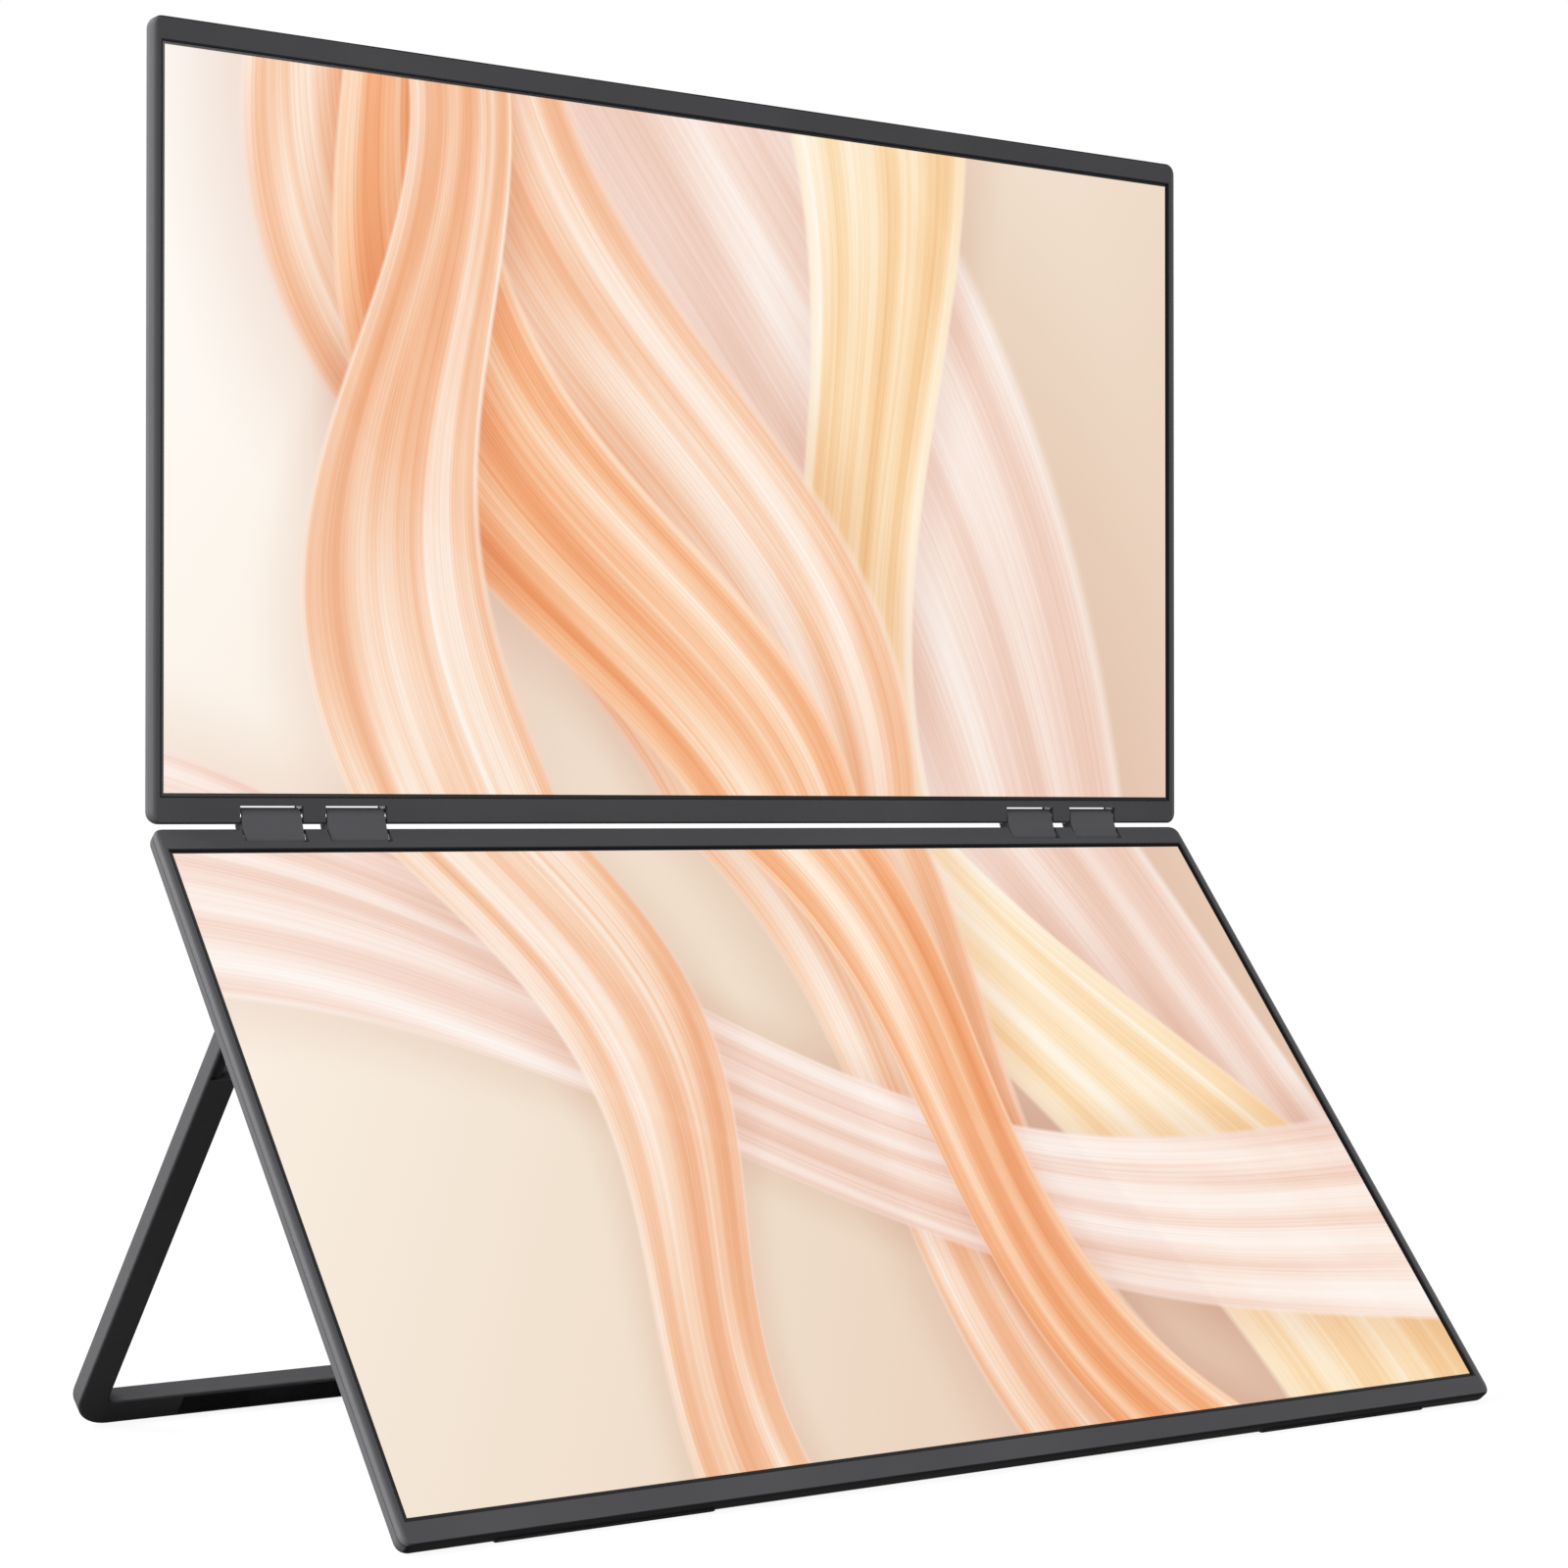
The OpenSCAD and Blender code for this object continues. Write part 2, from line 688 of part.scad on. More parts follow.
// A port's outline, drawn in the plane of the housing's right side
module on_right(v, from, to)
    translate([side_face - to, v, -port_d]) rotate([90, 0, 90])
        linear_extrude(to - from) children();

module on_left(v, from, to) mirror([1, 0, 0]) on_right(v, from, to) children();

module video_outline(w, h)
    polygon([[-w / 2, h / 2], [w / 2, h / 2], [w / 2, -h / 6], [w / 2 - h / 4, -h / 2],
        [-w / 2 + h / 4, -h / 2], [-w / 2, -h / 6]]);

module back_housing()
    color(black_plastic) place_lower() difference() {
        union() {
            difference() {
                housing_form();
                layer(screen_t - cut, cavity_back) housing_plan(housing_wall);
            }
            housing_screw_places() layer(screen_t, cavity_back + skin_t) circle(boss_r);
        }
        housing_screw_places() {
            layer(screen_t - cut, housing_back + cut) circle(screw_r + seat_gap);
            layer(housing_back - screw_head_t - seat_gap, housing_back + cut)
                circle(screw_head_r + seat_gap);
        }
        for (v = usb_v) on_right(v, -cut, housing_wall + cut)
            pill(usb_w + 2 * port_gap, usb_h + 2 * port_gap);
        on_right(video_v, -cut, housing_wall + cut)
            video_outline(video_w + 2 * port_gap, video_h + 2 * port_gap);
        on_left(jack_v, -cut, housing_wall + cut) circle(jack_nose_r + port_gap);
        on_left(power_v, -cut, housing_wall + cut)
            pill(power_w + 2 * button_gap, button_h + 2 * button_gap);
        on_left(rocker_v, -cut, housing_wall + cut)
            pill(rocker_w + 2 * button_gap, button_h + 2 * button_gap);
        // Ventilation over the main board
        for (k = [0:vent_count - 1])
            translate([side_inner - vent_margin - k * vent_pitch, board_v + board_h / 2, 0])
                layer(cavity_back - cut, housing_back + cut) rotate(90) pill(vent_l, vent_w);
        // Sound slots over the speakers
        both_sides() for (k = [0:sound_count - 1])
            translate([speaker_x + (k - (sound_count - 1) / 2) * sound_pitch, speaker_v, 0])
                layer(cavity_back - cut, housing_back + cut) rotate(90) pill(sound_l, sound_w);
    }

module housing_screws()
    color(dark_metal) place_lower() housing_screw_places() {
        layer(housing_back - screw_head_t, housing_back) circle(screw_head_r);
        layer(floor_front + skin_t + seat_gap, housing_back - screw_head_t) circle(screw_r);
    }

module speaker()
    layer(screen_t + seat_gap, screen_t + seat_gap + speaker_t)
        translate([speaker_x, speaker_v]) round_rect(speaker_w, speaker_h, speaker_r);

module right_speaker() color(black_plastic) place_lower() speaker();
module left_speaker() color(black_plastic) place_lower() mirror([1, 0, 0]) speaker();

module main_board()
    color(board_green) place_lower() {
        layer(board_front, board_back)
            translate([board_right - main_board_w, board_v]) square([main_board_w, board_h]);
        for (chip = chips)
            layer(board_back, board_back + chip_t)
                translate([board_right - chip[0], board_v + chip[1]]) square(chip[2], center = true);
    }

module key_board()
    color(board_green) place_lower() difference() {
        layer(board_front, board_back)
            translate([-(side_face - switch_front), board_v]) square([key_board_w, board_h]);
        on_left(jack_v, 0, jack_depth + 2 * cut)
            square([jack_body_w + 2 * port_gap, 2 * port_height], center = true);
    }

module usb_c_ports()
    color(steel) place_lower() for (v = usb_v) {
        difference() {
            on_right(v, 0, usb_depth) pill(usb_w, usb_h);
            on_right(v, -cut, usb_depth - shell_wall)
                pill(usb_w - 2 * shell_wall, usb_h - 2 * shell_wall);
        }
        on_right(v, blade_setback, usb_depth - shell_wall)
            square([usb_w - 2 * blade_side, blade_t], center = true);
    }

module video_port()
    color(steel) place_lower() {
        difference() {
            on_right(video_v, 0, video_depth) video_outline(video_w, video_h);
            on_right(video_v, -cut, video_depth - shell_wall)
                video_outline(video_w - 2 * shell_wall, video_h - 2 * shell_wall);
        }
        on_right(video_v, blade_setback, video_depth - shell_wall)
            square([video_w - 2 * blade_side, blade_t], center = true);
    }

module audio_jack()
    color(black_plastic) place_lower() difference() {
        union() {
            on_left(jack_v, 0, housing_wall + port_gap) circle(jack_nose_r);
            on_left(jack_v, housing_wall + port_gap, jack_depth + cut)
                square([jack_body_w, jack_body_h], center = true);
        }
        on_left(jack_v, -cut, jack_depth) circle(jack_bore_r);
    }

// ---------------------------------------------------------------- buttons

// Cap that stands out of the side, with a flange behind the wall that keeps it in
module button(v, w) {
    flange_front = housing_wall + button_play;
    on_left(v, -button_proud, flange_front) pill(w, button_h);
    on_left(v, flange_front, flange_front + flange_t) pill(w + flange_rim, button_h + flange_rim);
}

module power_button() color(black_plastic) place_lower() button(power_v, power_w);
module menu_rocker() color(black_plastic) place_lower() button(rocker_v, rocker_w);

// Small switches on the key board that the buttons press
module button_switches()
    color(dark_metal) place_lower()
        for (v = [power_v, rocker_v - rocker_w / 3, rocker_v + rocker_w / 3])
            layer(board_back, board_back + switch_size)
                translate([-(side_face - switch_front), v - switch_size / 2]) square(switch_size);

// ---------------------------------------------------------------- kickstand

module stand_frame()
    color(dark_metal) place_stand() difference() {
        union() {
            both_sides() {
                // Leg, with its pivot end rounded about the pin
                intersection() {
                    translate([leg_in + stand_bar_w / 2, 0, stand_t / 2]) rotate([-90, 0, 0])
                        linear_extrude(stand_l + stand_t)
                            round_rect(stand_bar_w, stand_t, stand_edge_r);
                    rotate([90, 0, 90]) linear_extrude(big) {
                        translate([stand_corner_r, 0]) square([stand_l - stand_corner_r, stand_t]);
                        translate([stand_l, stand_t / 2]) circle(stand_t / 2);
                    }
                }
                translate([stand_half_w - stand_corner_r, stand_corner_r, 0])
                    rotate(-90) rotate_extrude(angle = 90)
                        translate([stand_corner_r - stand_bar_w / 2, stand_t / 2])
                            round_rect(stand_bar_w, stand_t, stand_edge_r);
            }
            translate([0, stand_bar_w / 2, stand_t / 2]) rotate([90, 0, 90])
                linear_extrude(2 * (stand_half_w - stand_corner_r), center = true)
                    round_rect(stand_bar_w, stand_t, stand_edge_r);
        }
        both_sides() {
            // Cut-away beside the ear, where the bracket stands
            translate([leg_in - cut, stand_l - relief_l, -cut])
                cube([stand_bar_w - leg_ear_w + cut, relief_l + stand_t, stand_t + 2 * cut]);
            // Shallow recess in front of the ear, up to its rounded end
            translate([leg_in, stand_l - relief_l, stand_t - ear_recess])
                cube([stand_bar_w - ear_cap, relief_l - stand_t / 2, ear_recess + cut]);
            // Blind bore for the pin
            translate([stand_half_w - leg_ear_w - cut, stand_l, stand_t / 2]) rotate([0, 90, 0])
                cylinder(h = leg_ear_w + cut - ear_cap, r = pin_r + running_gap);
        }
        translate([-pad_half_w, pad_margin, stand_t - pad_groove])
            cube([2 * pad_half_w, stand_bar_w - 2 * pad_margin, pad_groove + cut]);
    }

module foot_pad()
    color(rubber) place_stand()
        translate([0, stand_bar_w / 2, stand_t - pad_groove])
            linear_extrude(pad_groove + pad_proud)
                square([2 * (pad_half_w - seat_gap), stand_bar_w - 2 * (pad_margin + seat_gap)],
                    center = true);

module stand_screw_places()
    both_sides() for (v = bracket_screw_v) translate([bracket_x, v, 0]) children();

module stand_brackets()
    color(dark_metal) place_lower() difference() {
        both_sides() translate([bracket_x, 0, 0]) rotate([0, -90, 0])
            linear_extrude(bracket_w, center = true) {
                translate([-screen_t - bracket_h, pivot_drop]) square([bracket_h, bracket_l]);
                translate([-screen_t - pivot_height, pivot_drop - stand_t / 2])
                    square([pivot_height, stand_t]);
                translate([-screen_t - pivot_height, pivot_drop]) circle(stand_t / 2);
            }
        translate([0, pivot_drop, -pivot_d]) rod(pin_r + press_gap, big);
        stand_screw_places() {
            layer(screen_t - cut, screen_t + 2 * bracket_h) circle(screw_r + seat_gap);
            layer(screen_t + bracket_h - screw_head_t - seat_gap, screen_t + 2 * bracket_h)
                circle(screw_head_r + seat_gap);
        }
    }

module stand_bracket_screws()
    color(steel) place_lower() stand_screw_places() {
        layer(screen_t + bracket_h - screw_head_t, screen_t + bracket_h) circle(screw_head_r);
        layer(floor_front + skin_t + seat_gap, screen_t + bracket_h - screw_head_t) circle(screw_r);
    }

module stand_pins() {
    pin_from = bracket_x - bracket_w / 2;
    pin_to = stand_half_w - ear_cap - seat_gap;
    color("silver") place_lower() both_sides()
        translate([(pin_from + pin_to) / 2, pivot_drop, -pivot_d]) rod(pin_r, pin_to - pin_from);
}

module stand_washers()
    color("silver") place_lower() both_sides()
        translate([stand_half_w - leg_ear_w - bracket_gap / 2, pivot_drop, -pivot_d])
            rotate([0, 90, 0]) linear_extrude(bracket_gap - 2 * seat_gap, center = true)
                difference() {
                    circle(stand_t / 2 - seat_gap);
                    circle(pin_r + running_gap);
                }

lower_back_cover();
lower_bezel();
lower_display();
lower_backlight();
lower_driver_board();
lower_flex_tails();
lower_hinge_brackets();
lower_hinge_shafts();
lower_bracket_screws();
back_housing();
housing_screws();
main_board();
key_board();
left_speaker();
right_speaker();
usb_c_ports();
video_port();
audio_jack();
button_switches();
power_button();
menu_rocker();
rubber_feet();
stand_brackets();
stand_bracket_screws();
stand_pins();
stand_washers();
left_links();
right_links();
friction_washers();
upper_back_cover();
upper_bezel();
upper_display();
upper_backlight();
upper_driver_board();
upper_flex_tails();
upper_hinge_brackets();
upper_hinge_shafts();
upper_bracket_screws();
stand_frame();
foot_pad();
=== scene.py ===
"""Looks of a folding pair of portable screens.

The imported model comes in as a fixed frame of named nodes. This script gives every node its
finish and adds the thin things that the solids leave out: the lit pictures, the screws with
their recesses and the ribs of the rubber pad under the kickstand.
"""

from __future__ import annotations

import json
import logging
import math
from dataclasses import dataclass, field
from enum import Enum
from typing import Any, Iterable, Sequence

import bpy
import numpy as np
from mathutils import Matrix, Vector


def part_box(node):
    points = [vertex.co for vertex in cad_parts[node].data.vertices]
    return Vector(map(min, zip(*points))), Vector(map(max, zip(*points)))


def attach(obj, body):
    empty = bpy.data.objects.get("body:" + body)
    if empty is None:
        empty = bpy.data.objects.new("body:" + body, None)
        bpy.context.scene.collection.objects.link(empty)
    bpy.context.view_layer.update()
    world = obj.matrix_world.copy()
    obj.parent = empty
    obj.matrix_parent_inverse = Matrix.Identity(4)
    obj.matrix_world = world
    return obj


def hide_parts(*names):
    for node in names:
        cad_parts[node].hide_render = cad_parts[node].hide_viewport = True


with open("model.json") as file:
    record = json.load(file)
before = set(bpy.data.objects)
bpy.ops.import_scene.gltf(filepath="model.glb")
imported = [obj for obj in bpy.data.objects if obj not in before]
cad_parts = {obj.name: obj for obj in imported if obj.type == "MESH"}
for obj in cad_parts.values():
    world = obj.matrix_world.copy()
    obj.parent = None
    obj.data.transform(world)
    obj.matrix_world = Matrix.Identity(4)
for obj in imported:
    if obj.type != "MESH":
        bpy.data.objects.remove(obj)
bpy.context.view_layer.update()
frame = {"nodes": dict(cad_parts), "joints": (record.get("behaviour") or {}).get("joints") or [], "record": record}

MM = 0.001
ONE_PLACE = 0.01 * MM  # Corners closer than this are one corner
ACROSS = np.array((1.0, 0.0, 0.0))
SHARP_FROM = 40.0  # Degrees between two faces from which their edge stays sharp
LOG = logging.getLogger("screens")

Colour = tuple[float, float, float]
WHITE: Colour = (1.0, 1.0, 1.0)
BLACK: Colour = (0.0, 0.0, 0.0)
NOISE_SPAN = (0.3, 0.7)  # Values between which nearly all of a noise lies
SEAM_AND_PAINTED_SHADE = 0.2  # How dark a seam, and the painted shade on an edge in shadow, are, as a share of their colour


# ---------------------------------------------------------------- places


def tint(code: str) -> Colour:
    """Linear red, green and blue of a colour.

    Args:
        code: The colour as it looks on a screen, such as "#4a4a4c".

    Returns:
        The three shares of light, each from 0 to 1.
    """
    shown = np.array([int(code[k : k + 2], 16) for k in (1, 3, 5)]) / 255
    linear = np.where(shown > 0.04045, ((shown + 0.055) / 1.055) ** 2.4, shown / 12.92)
    return tuple(float(share) for share in linear)


def shade(colour: Colour, share: float) -> Colour:
    """The colour made lighter or darker by a share, and no lighter than white."""
    return tuple(min(1.0, part * share) for part in colour)


@dataclass(frozen=True)
class PlateFrame:
    """Axes of a screen: across to the right, along from its hinge edge, back from its front.

    Attributes:
        origin: Middle of the front face's edge at the hinges.
        along: Unit vector away from the hinges.
        back: Unit vector into the casing.
    """

    origin: np.ndarray
    along: np.ndarray
    back: np.ndarray

    def place(self, across: np.ndarray, along: np.ndarray, back: np.ndarray) -> np.ndarray:
        """Points from their distances: the origin plus each distance times its axis.

        Args:
            across: Distances to the right of the middle.
            along: Distances from the hinge edge.
            back: Depths behind the front face.

        Returns:
            Points, three coordinates each.
        """
        across, along, back = np.broadcast_arrays(across, along, back)
        return (
            self.origin
            + across[..., None] * ACROSS
            + along[..., None] * self.along
            + back[..., None] * self.back
        )

    def measure(self, points: np.ndarray) -> np.ndarray:
        """Distances across, along and back of points: the dot products with the three axes."""
        axes = np.stack((ACROSS, self.along, self.back), axis=-1)
        return (points - self.origin) @ axes

    @property
    def left_handed(self) -> bool:
        """Whether a grid over across and along faces the front without being turned."""
        return float(np.dot(np.cross(ACROSS, self.along), self.back)) < 0


def joint_place(name: str) -> np.ndarray:
    """Place of a joint's axis at rest."""
    joint = next(joint for joint in frame["joints"] if joint["name"] == name)
    return np.array(joint["pos_m"])


def mount_axis(name: str) -> np.ndarray:
    """Outward direction of a mount."""
    mount = next(mount for mount in frame["record"]["mounts"] if mount["name"] == name)
    return np.array(mount["axis"])


def upper_plate() -> PlateFrame:
    """The upper screen's axes. It stands upright, so its front frame's box gives its origin.

    Returns:
        The axes of the upright screen.
    """
    low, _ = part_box("upper_bezel")
    origin = np.array((0.0, low[1], low[2]))
    return PlateFrame(origin, np.array((0.0, 0.0, 1.0)), np.array((0.0, 1.0, 0.0)))


def lower_plate(upper: PlateFrame) -> PlateFrame:
    """The lower screen's axes.

    Its hinge axis lies as deep behind its front face, and as far from its edge, as the upper
    screen's.

    Args:
        upper: The upper screen's axes.

    Returns:
        The axes of the screen that leans back.
    """
    back = mount_axis("housing_back")
    along = np.array((0.0, back[2], -back[1]))
    _, inset, depth = upper.measure(joint_place("upper_hinge"))
    return PlateFrame(joint_place("lower_hinge") - inset * along - depth * back, along, back)


# ---------------------------------------------------------------- shader nodes


class Signal:
    """An output of a node. Arithmetic on it adds Math nodes."""

    def __init__(self, bench: NodeBench, socket: bpy.types.NodeSocket) -> None:
        """Keeps the output and the tree it belongs to."""
        self.bench = bench
        self.socket = socket

    def _math(self, operation: str, *values: Signal | float) -> Signal:
        """Adds a Math node of that operation on the values."""
        sockets = dict(enumerate(values))
        return self.bench.signal("ShaderNodeMath", {"operation": operation}, sockets)

    def __add__(self, other: Signal | float) -> Signal:
        """The sum."""
        return self._math("ADD", self, other)

    __radd__ = __add__

    def __sub__(self, other: Signal | float) -> Signal:
        """The difference."""
        return self._math("SUBTRACT", self, other)

    def __rsub__(self, other: float) -> Signal:
        """A number less this value."""
        return self._math("SUBTRACT", other, self)

    def __mul__(self, other: Signal | float) -> Signal:
        """The product."""
        return self._math("MULTIPLY", self, other)

    __rmul__ = __mul__

    def __truediv__(self, other: Signal | float) -> Signal:
        """The quotient."""
        return self._math("DIVIDE", self, other)

    def __abs__(self) -> Signal:
        """The value without its sign."""
        return self._math("ABSOLUTE", self)

    def sine(self) -> Signal:
        """The sine of the value in radians."""
        return self._math("SINE", self)

    def fraction(self) -> Signal:
        """What is left of the value above its whole part."""
        return self._math("FRACT", self)

    def at_most(self, other: Signal | float) -> Signal:
        """The smaller of the two values."""
        return self._math("MINIMUM", self, other)

    def at_least(self, other: Signal | float) -> Signal:
        """The larger of the two values."""
        return self._math("MAXIMUM", self, other)

    def about(self, mean: float, spread: float) -> Signal:
        """A value from 0 to 1, brought to that mean and to that distance between its ends."""
        return self * spread + (mean - spread / 2)

    def rise(self, low: float, high: float) -> Signal:
        """A smooth step from 0 to 1.

        Args:
            low: Value up to which the step is 0.
            high: Value from which it is 1. It may lie below low, and then the step falls.

        Returns:
            The step, held between 0 and 1.
        """
        sockets = {"Value": self, "From Min": low, "From Max": high}
        settings = {"interpolation_type": "SMOOTHSTEP"}
        return self.bench.signal("ShaderNodeMapRange", settings, sockets, "Result")

    def stripes(self, pitch: float, edge: float, core: float) -> Signal:
        """1 in the middle of each pitch, and 0 from its edge on.

        Args:
            pitch: Distance from one stripe to the next.
            edge: Half a stripe's width, as a share of the pitch.
            core: Half the width of its full middle.

        Returns:
            The stripes.
        """
        return abs((self / pitch).fraction() - 0.5).rise(edge, core)


class NodeBench:
    """Node tree of one material, with one way to add any node."""

    def __init__(self, tree: bpy.types.NodeTree) -> None:
        """Clears the tree. The coordinates that every pattern reads are added when asked for.

        Args:
            tree: The node tree to fill.
        """
        self.tree = tree
        self.tree.nodes.clear()
        self._points: Signal | None = None

    @property
    def points(self) -> Signal:
        """Object coordinates, in metres."""
        if self._points is None:
            self._points = self.signal("ShaderNodeTexCoord", output="Object")
        return self._points

    def node(
        self,
        kind: str,
        settings: dict[str, Any] | None = None,
        sockets: dict[int | str, Any] | None = None,
    ) -> bpy.types.Node:
        """Adds a node.

        Args:
            kind: Blender's name of the node's type.
            settings: Its properties, set first because some of them change its sockets. "stops"
                holds the places and colours of a ramp.
            sockets: Values or links of its inputs, by name or number. A colour gets its alpha.

        Returns:
            The new node.
        """
        made = self.tree.nodes.new(kind)
        for name, value in (settings or {}).items():
            if name == "stops":
                self._set_stops(made.color_ramp, value)
            else:
                setattr(made, name, value)
        for key, value in (sockets or {}).items():
            socket = made.inputs[key]
            if isinstance(value, Signal):
                self.tree.links.new(value.socket, socket)
            else:
                socket.default_value = (*value, 1.0) if socket.type == "RGBA" else value
        return made

    @staticmethod
    def _set_stops(ramp: bpy.types.ColorRamp, stops: Sequence[tuple[float, Colour]]) -> None:
        """Gives a soft ramp its stops.

        Args:
            ramp: The ramp.
            stops: A place from 0 to 1 and a colour for each stop.
        """
        ramp.interpolation = "B_SPLINE"
        while len(ramp.elements) < len(stops):
            ramp.elements.new(1.0)
        for element, (place, colour) in zip(ramp.elements, stops):
            element.position = place
            element.color = (*colour, 1.0)

    def signal(
        self,
        kind: str,
        settings: dict[str, Any] | None = None,
        sockets: dict[int | str, Any] | None = None,
        output: int | str = 0,
    ) -> Signal:
        """Adds a node as above and gives one of its outputs, by name or number."""
        return Signal(self, self.node(kind, settings, sockets).outputs[output])

    def distance(self, direction: Sequence[float], start: Sequence[float]) -> Signal:
        """Distance from a place along a direction: the dot product less the place's own.

        Args:
            direction: A unit vector.
            start: The place.

        Returns:
            The distance in metres.
        """
        sockets = {0: self.points, 1: tuple(float(part) for part in direction)}
        settings = {"operation": "DOT_PRODUCT"}
        product = self.signal("ShaderNodeVectorMath", settings, sockets, "Value")
        return product - float(np.dot(direction, start))

    def across(self, plate: PlateFrame) -> Signal:
        """Distance to the right of a screen's middle."""
        return self.distance(ACROSS, plate.origin)

    def along(self, plate: PlateFrame) -> Signal:
        """Distance from a screen's hinge edge."""
        return self.distance(plate.along, plate.origin)

    def depth(self, plate: PlateFrame) -> Signal:
        """Distance behind a screen's front face."""
        return self.distance(plate.back, plate.origin)

    def vector(self, x: Signal | float, y: Signal | float, z: Signal | float) -> Signal:
        """A vector of three values."""
        return self.signal("ShaderNodeCombineXYZ", None, {0: x, 1: y, 2: z})

    def noise(self, where: Signal, scale: float = 1.0, detail: float = 2.0) -> Signal:
        """Cloudy noise.

        Args:
            where: The vector that it is read at.
            scale: How many blotches lie along one unit of the vector.
            detail: How many finer layers are added.

        Returns:
            The noise, nearly all of it inside NOISE_SPAN.
        """
        sockets = {"Vector": where, "Scale": scale, "Detail": detail}
        return self.signal("ShaderNodeTexNoise", None, sockets)

    def patches(self, size: float, detail: float = 2.0) -> Signal:
        """Noise in patches of that size."""
        return self.noise(self.points, 1 / size, detail)

    def streaks(self, lines: tuple[float, float, float], detail: float = 2.0) -> Signal:
        """Noise with so many lines per metre along each axis; they run where there are fewest."""
        sockets = {"Vector": self.points, "Scale": lines}
        return self.noise(self.signal("ShaderNodeMapping", None, sockets), detail=detail)

    def blend(self, share: Signal, first: Any, second: Any, mode: str = "MIX") -> Signal:
        """A mix of two colours.

        Args:
            share: How much of the second shows.
            first: The colour below.
            second: The colour above.
            mode: Blender's blend type.

        Returns:
            The mixed colour.
        """
        settings = {"data_type": "RGBA", "blend_type": mode}
        return self.signal("ShaderNodeMix", settings, {0: share, 6: first, 7: second}, 2)

    def mottle(self, share: Signal, colour: Colour, dark: float, light: float) -> Signal:
        """A colour between a darker and a lighter shade of itself."""
        return self.blend(share, shade(colour, dark), shade(colour, light))

    def ramp(self, value: Signal, stops: Sequence[tuple[float, Colour]]) -> Signal:
        """The colour that a ramp gives to a value."""
        return self.signal("ShaderNodeValToRGB", {"stops": stops}, {"Fac": value})

    def bump(self, height: Signal, depth: float) -> Signal:
        """A normal tilted by a height field.

        Args:
            height: The field, from 0 to 1.
            depth: What a height of 1 stands for, in metres.

        Returns:
            The normal.
        """
        sockets = {"Height": height, "Distance": depth, "Strength": 1.0}
        return self.signal("ShaderNodeBump", None, sockets)

    def mix(self, share: Signal, first: Signal, second: Signal) -> Signal:
        """A mix of two shaders, by the share of the second."""
        return self.signal("ShaderNodeMixShader", None, {0: share, 1: first, 2: second})

    def seen_directly(self) -> Signal:
        """Tells what is seen from what only lights the object.

        Returns:
            1 for what the camera sees straight, mirrored or through glass, 0 for soft light.
        """
        path = self.node("ShaderNodeLightPath")
        camera, glossy, transmission = (
            Signal(self, path.outputs[f"Is {kind} Ray"])
            for kind in ("Camera", "Glossy", "Transmission")
        )
        return (camera + glossy + transmission).at_most(1.0)

    def surface(self, **sockets: Any) -> None:
        """Ends the tree in a Principled shader with those sockets, an underscore for a space."""
        named = {name.replace("_", " "): value for name, value in sockets.items()}
        self.finish(self.signal("ShaderNodeBsdfPrincipled", None, named))

    def finish(self, shader: Signal, kind: str = "Material") -> None:
        """Joins a shader to the output."""
        self.node(f"ShaderNodeOutput{kind}", None, {"Surface": shader})


# ---------------------------------------------------------------- finishes


@dataclass(frozen=True)
class Finish:
    """A finish, told apart by its name."""

    name: str

    def material(self) -> bpy.types.Material:
        """Makes the material the first time that it is asked for.

        Returns:
            The finish as a material.
        """
        name = f"{self.name}_finish"
        made = bpy.data.materials.get(name)
        if made is None:
            made = bpy.data.materials.new(name)
            made.use_nodes = True
            self.build(NodeBench(made.node_tree))
        return made

    def build(self, bench: NodeBench) -> None:
        """Fills the node tree. Each finish has its own way.

        Args:
            bench: The material's node tree.
        """
        raise NotImplementedError


@dataclass(frozen=True)
class Seam:
    """A hairline where two pieces of a casing meet.

    Attributes:
        plate: Axes of the screen it runs round.
        depth: Its depth behind the front face.
        width: Its width.
    """

    plate: PlateFrame
    depth: float
    width: float = 0.12 * MM

    def mask(self, bench: NodeBench) -> Signal:
        """1 on the seam and 0 beside it."""
        return abs(bench.depth(self.plate) - self.depth).rise(self.width, self.width / 2)


@dataclass(frozen=True)
class Outline:
    """Outer edges of a screen, and the opening of its front frame.

    Attributes:
        plate: Axes of the screen.
        half_width: Distance across from the middle to the outer edge.
        length: Distance along from the hinge edge to the far edge.
        half_opening: Half the width of the opening.
        opening_start: Where along the opening begins.
        opening_end: Where along it ends.
        face: Distances before the far edge at which the painted shade on its narrow face begins and is full.
    """

    plate: PlateFrame
    half_width: float
    length: float
    half_opening: float
    opening_start: float
    opening_end: float
    face: tuple[float, float] = (0.7 * MM, 0.4 * MM)

    def painted_far_shade_mask(self, bench: NodeBench) -> Signal:
        """Where painted shade goes: 1 on the far edge's own narrow face, and 0 before it."""
        begins, full = self.face
        return bench.along(self.plate).rise(self.length - begins, self.length - full)


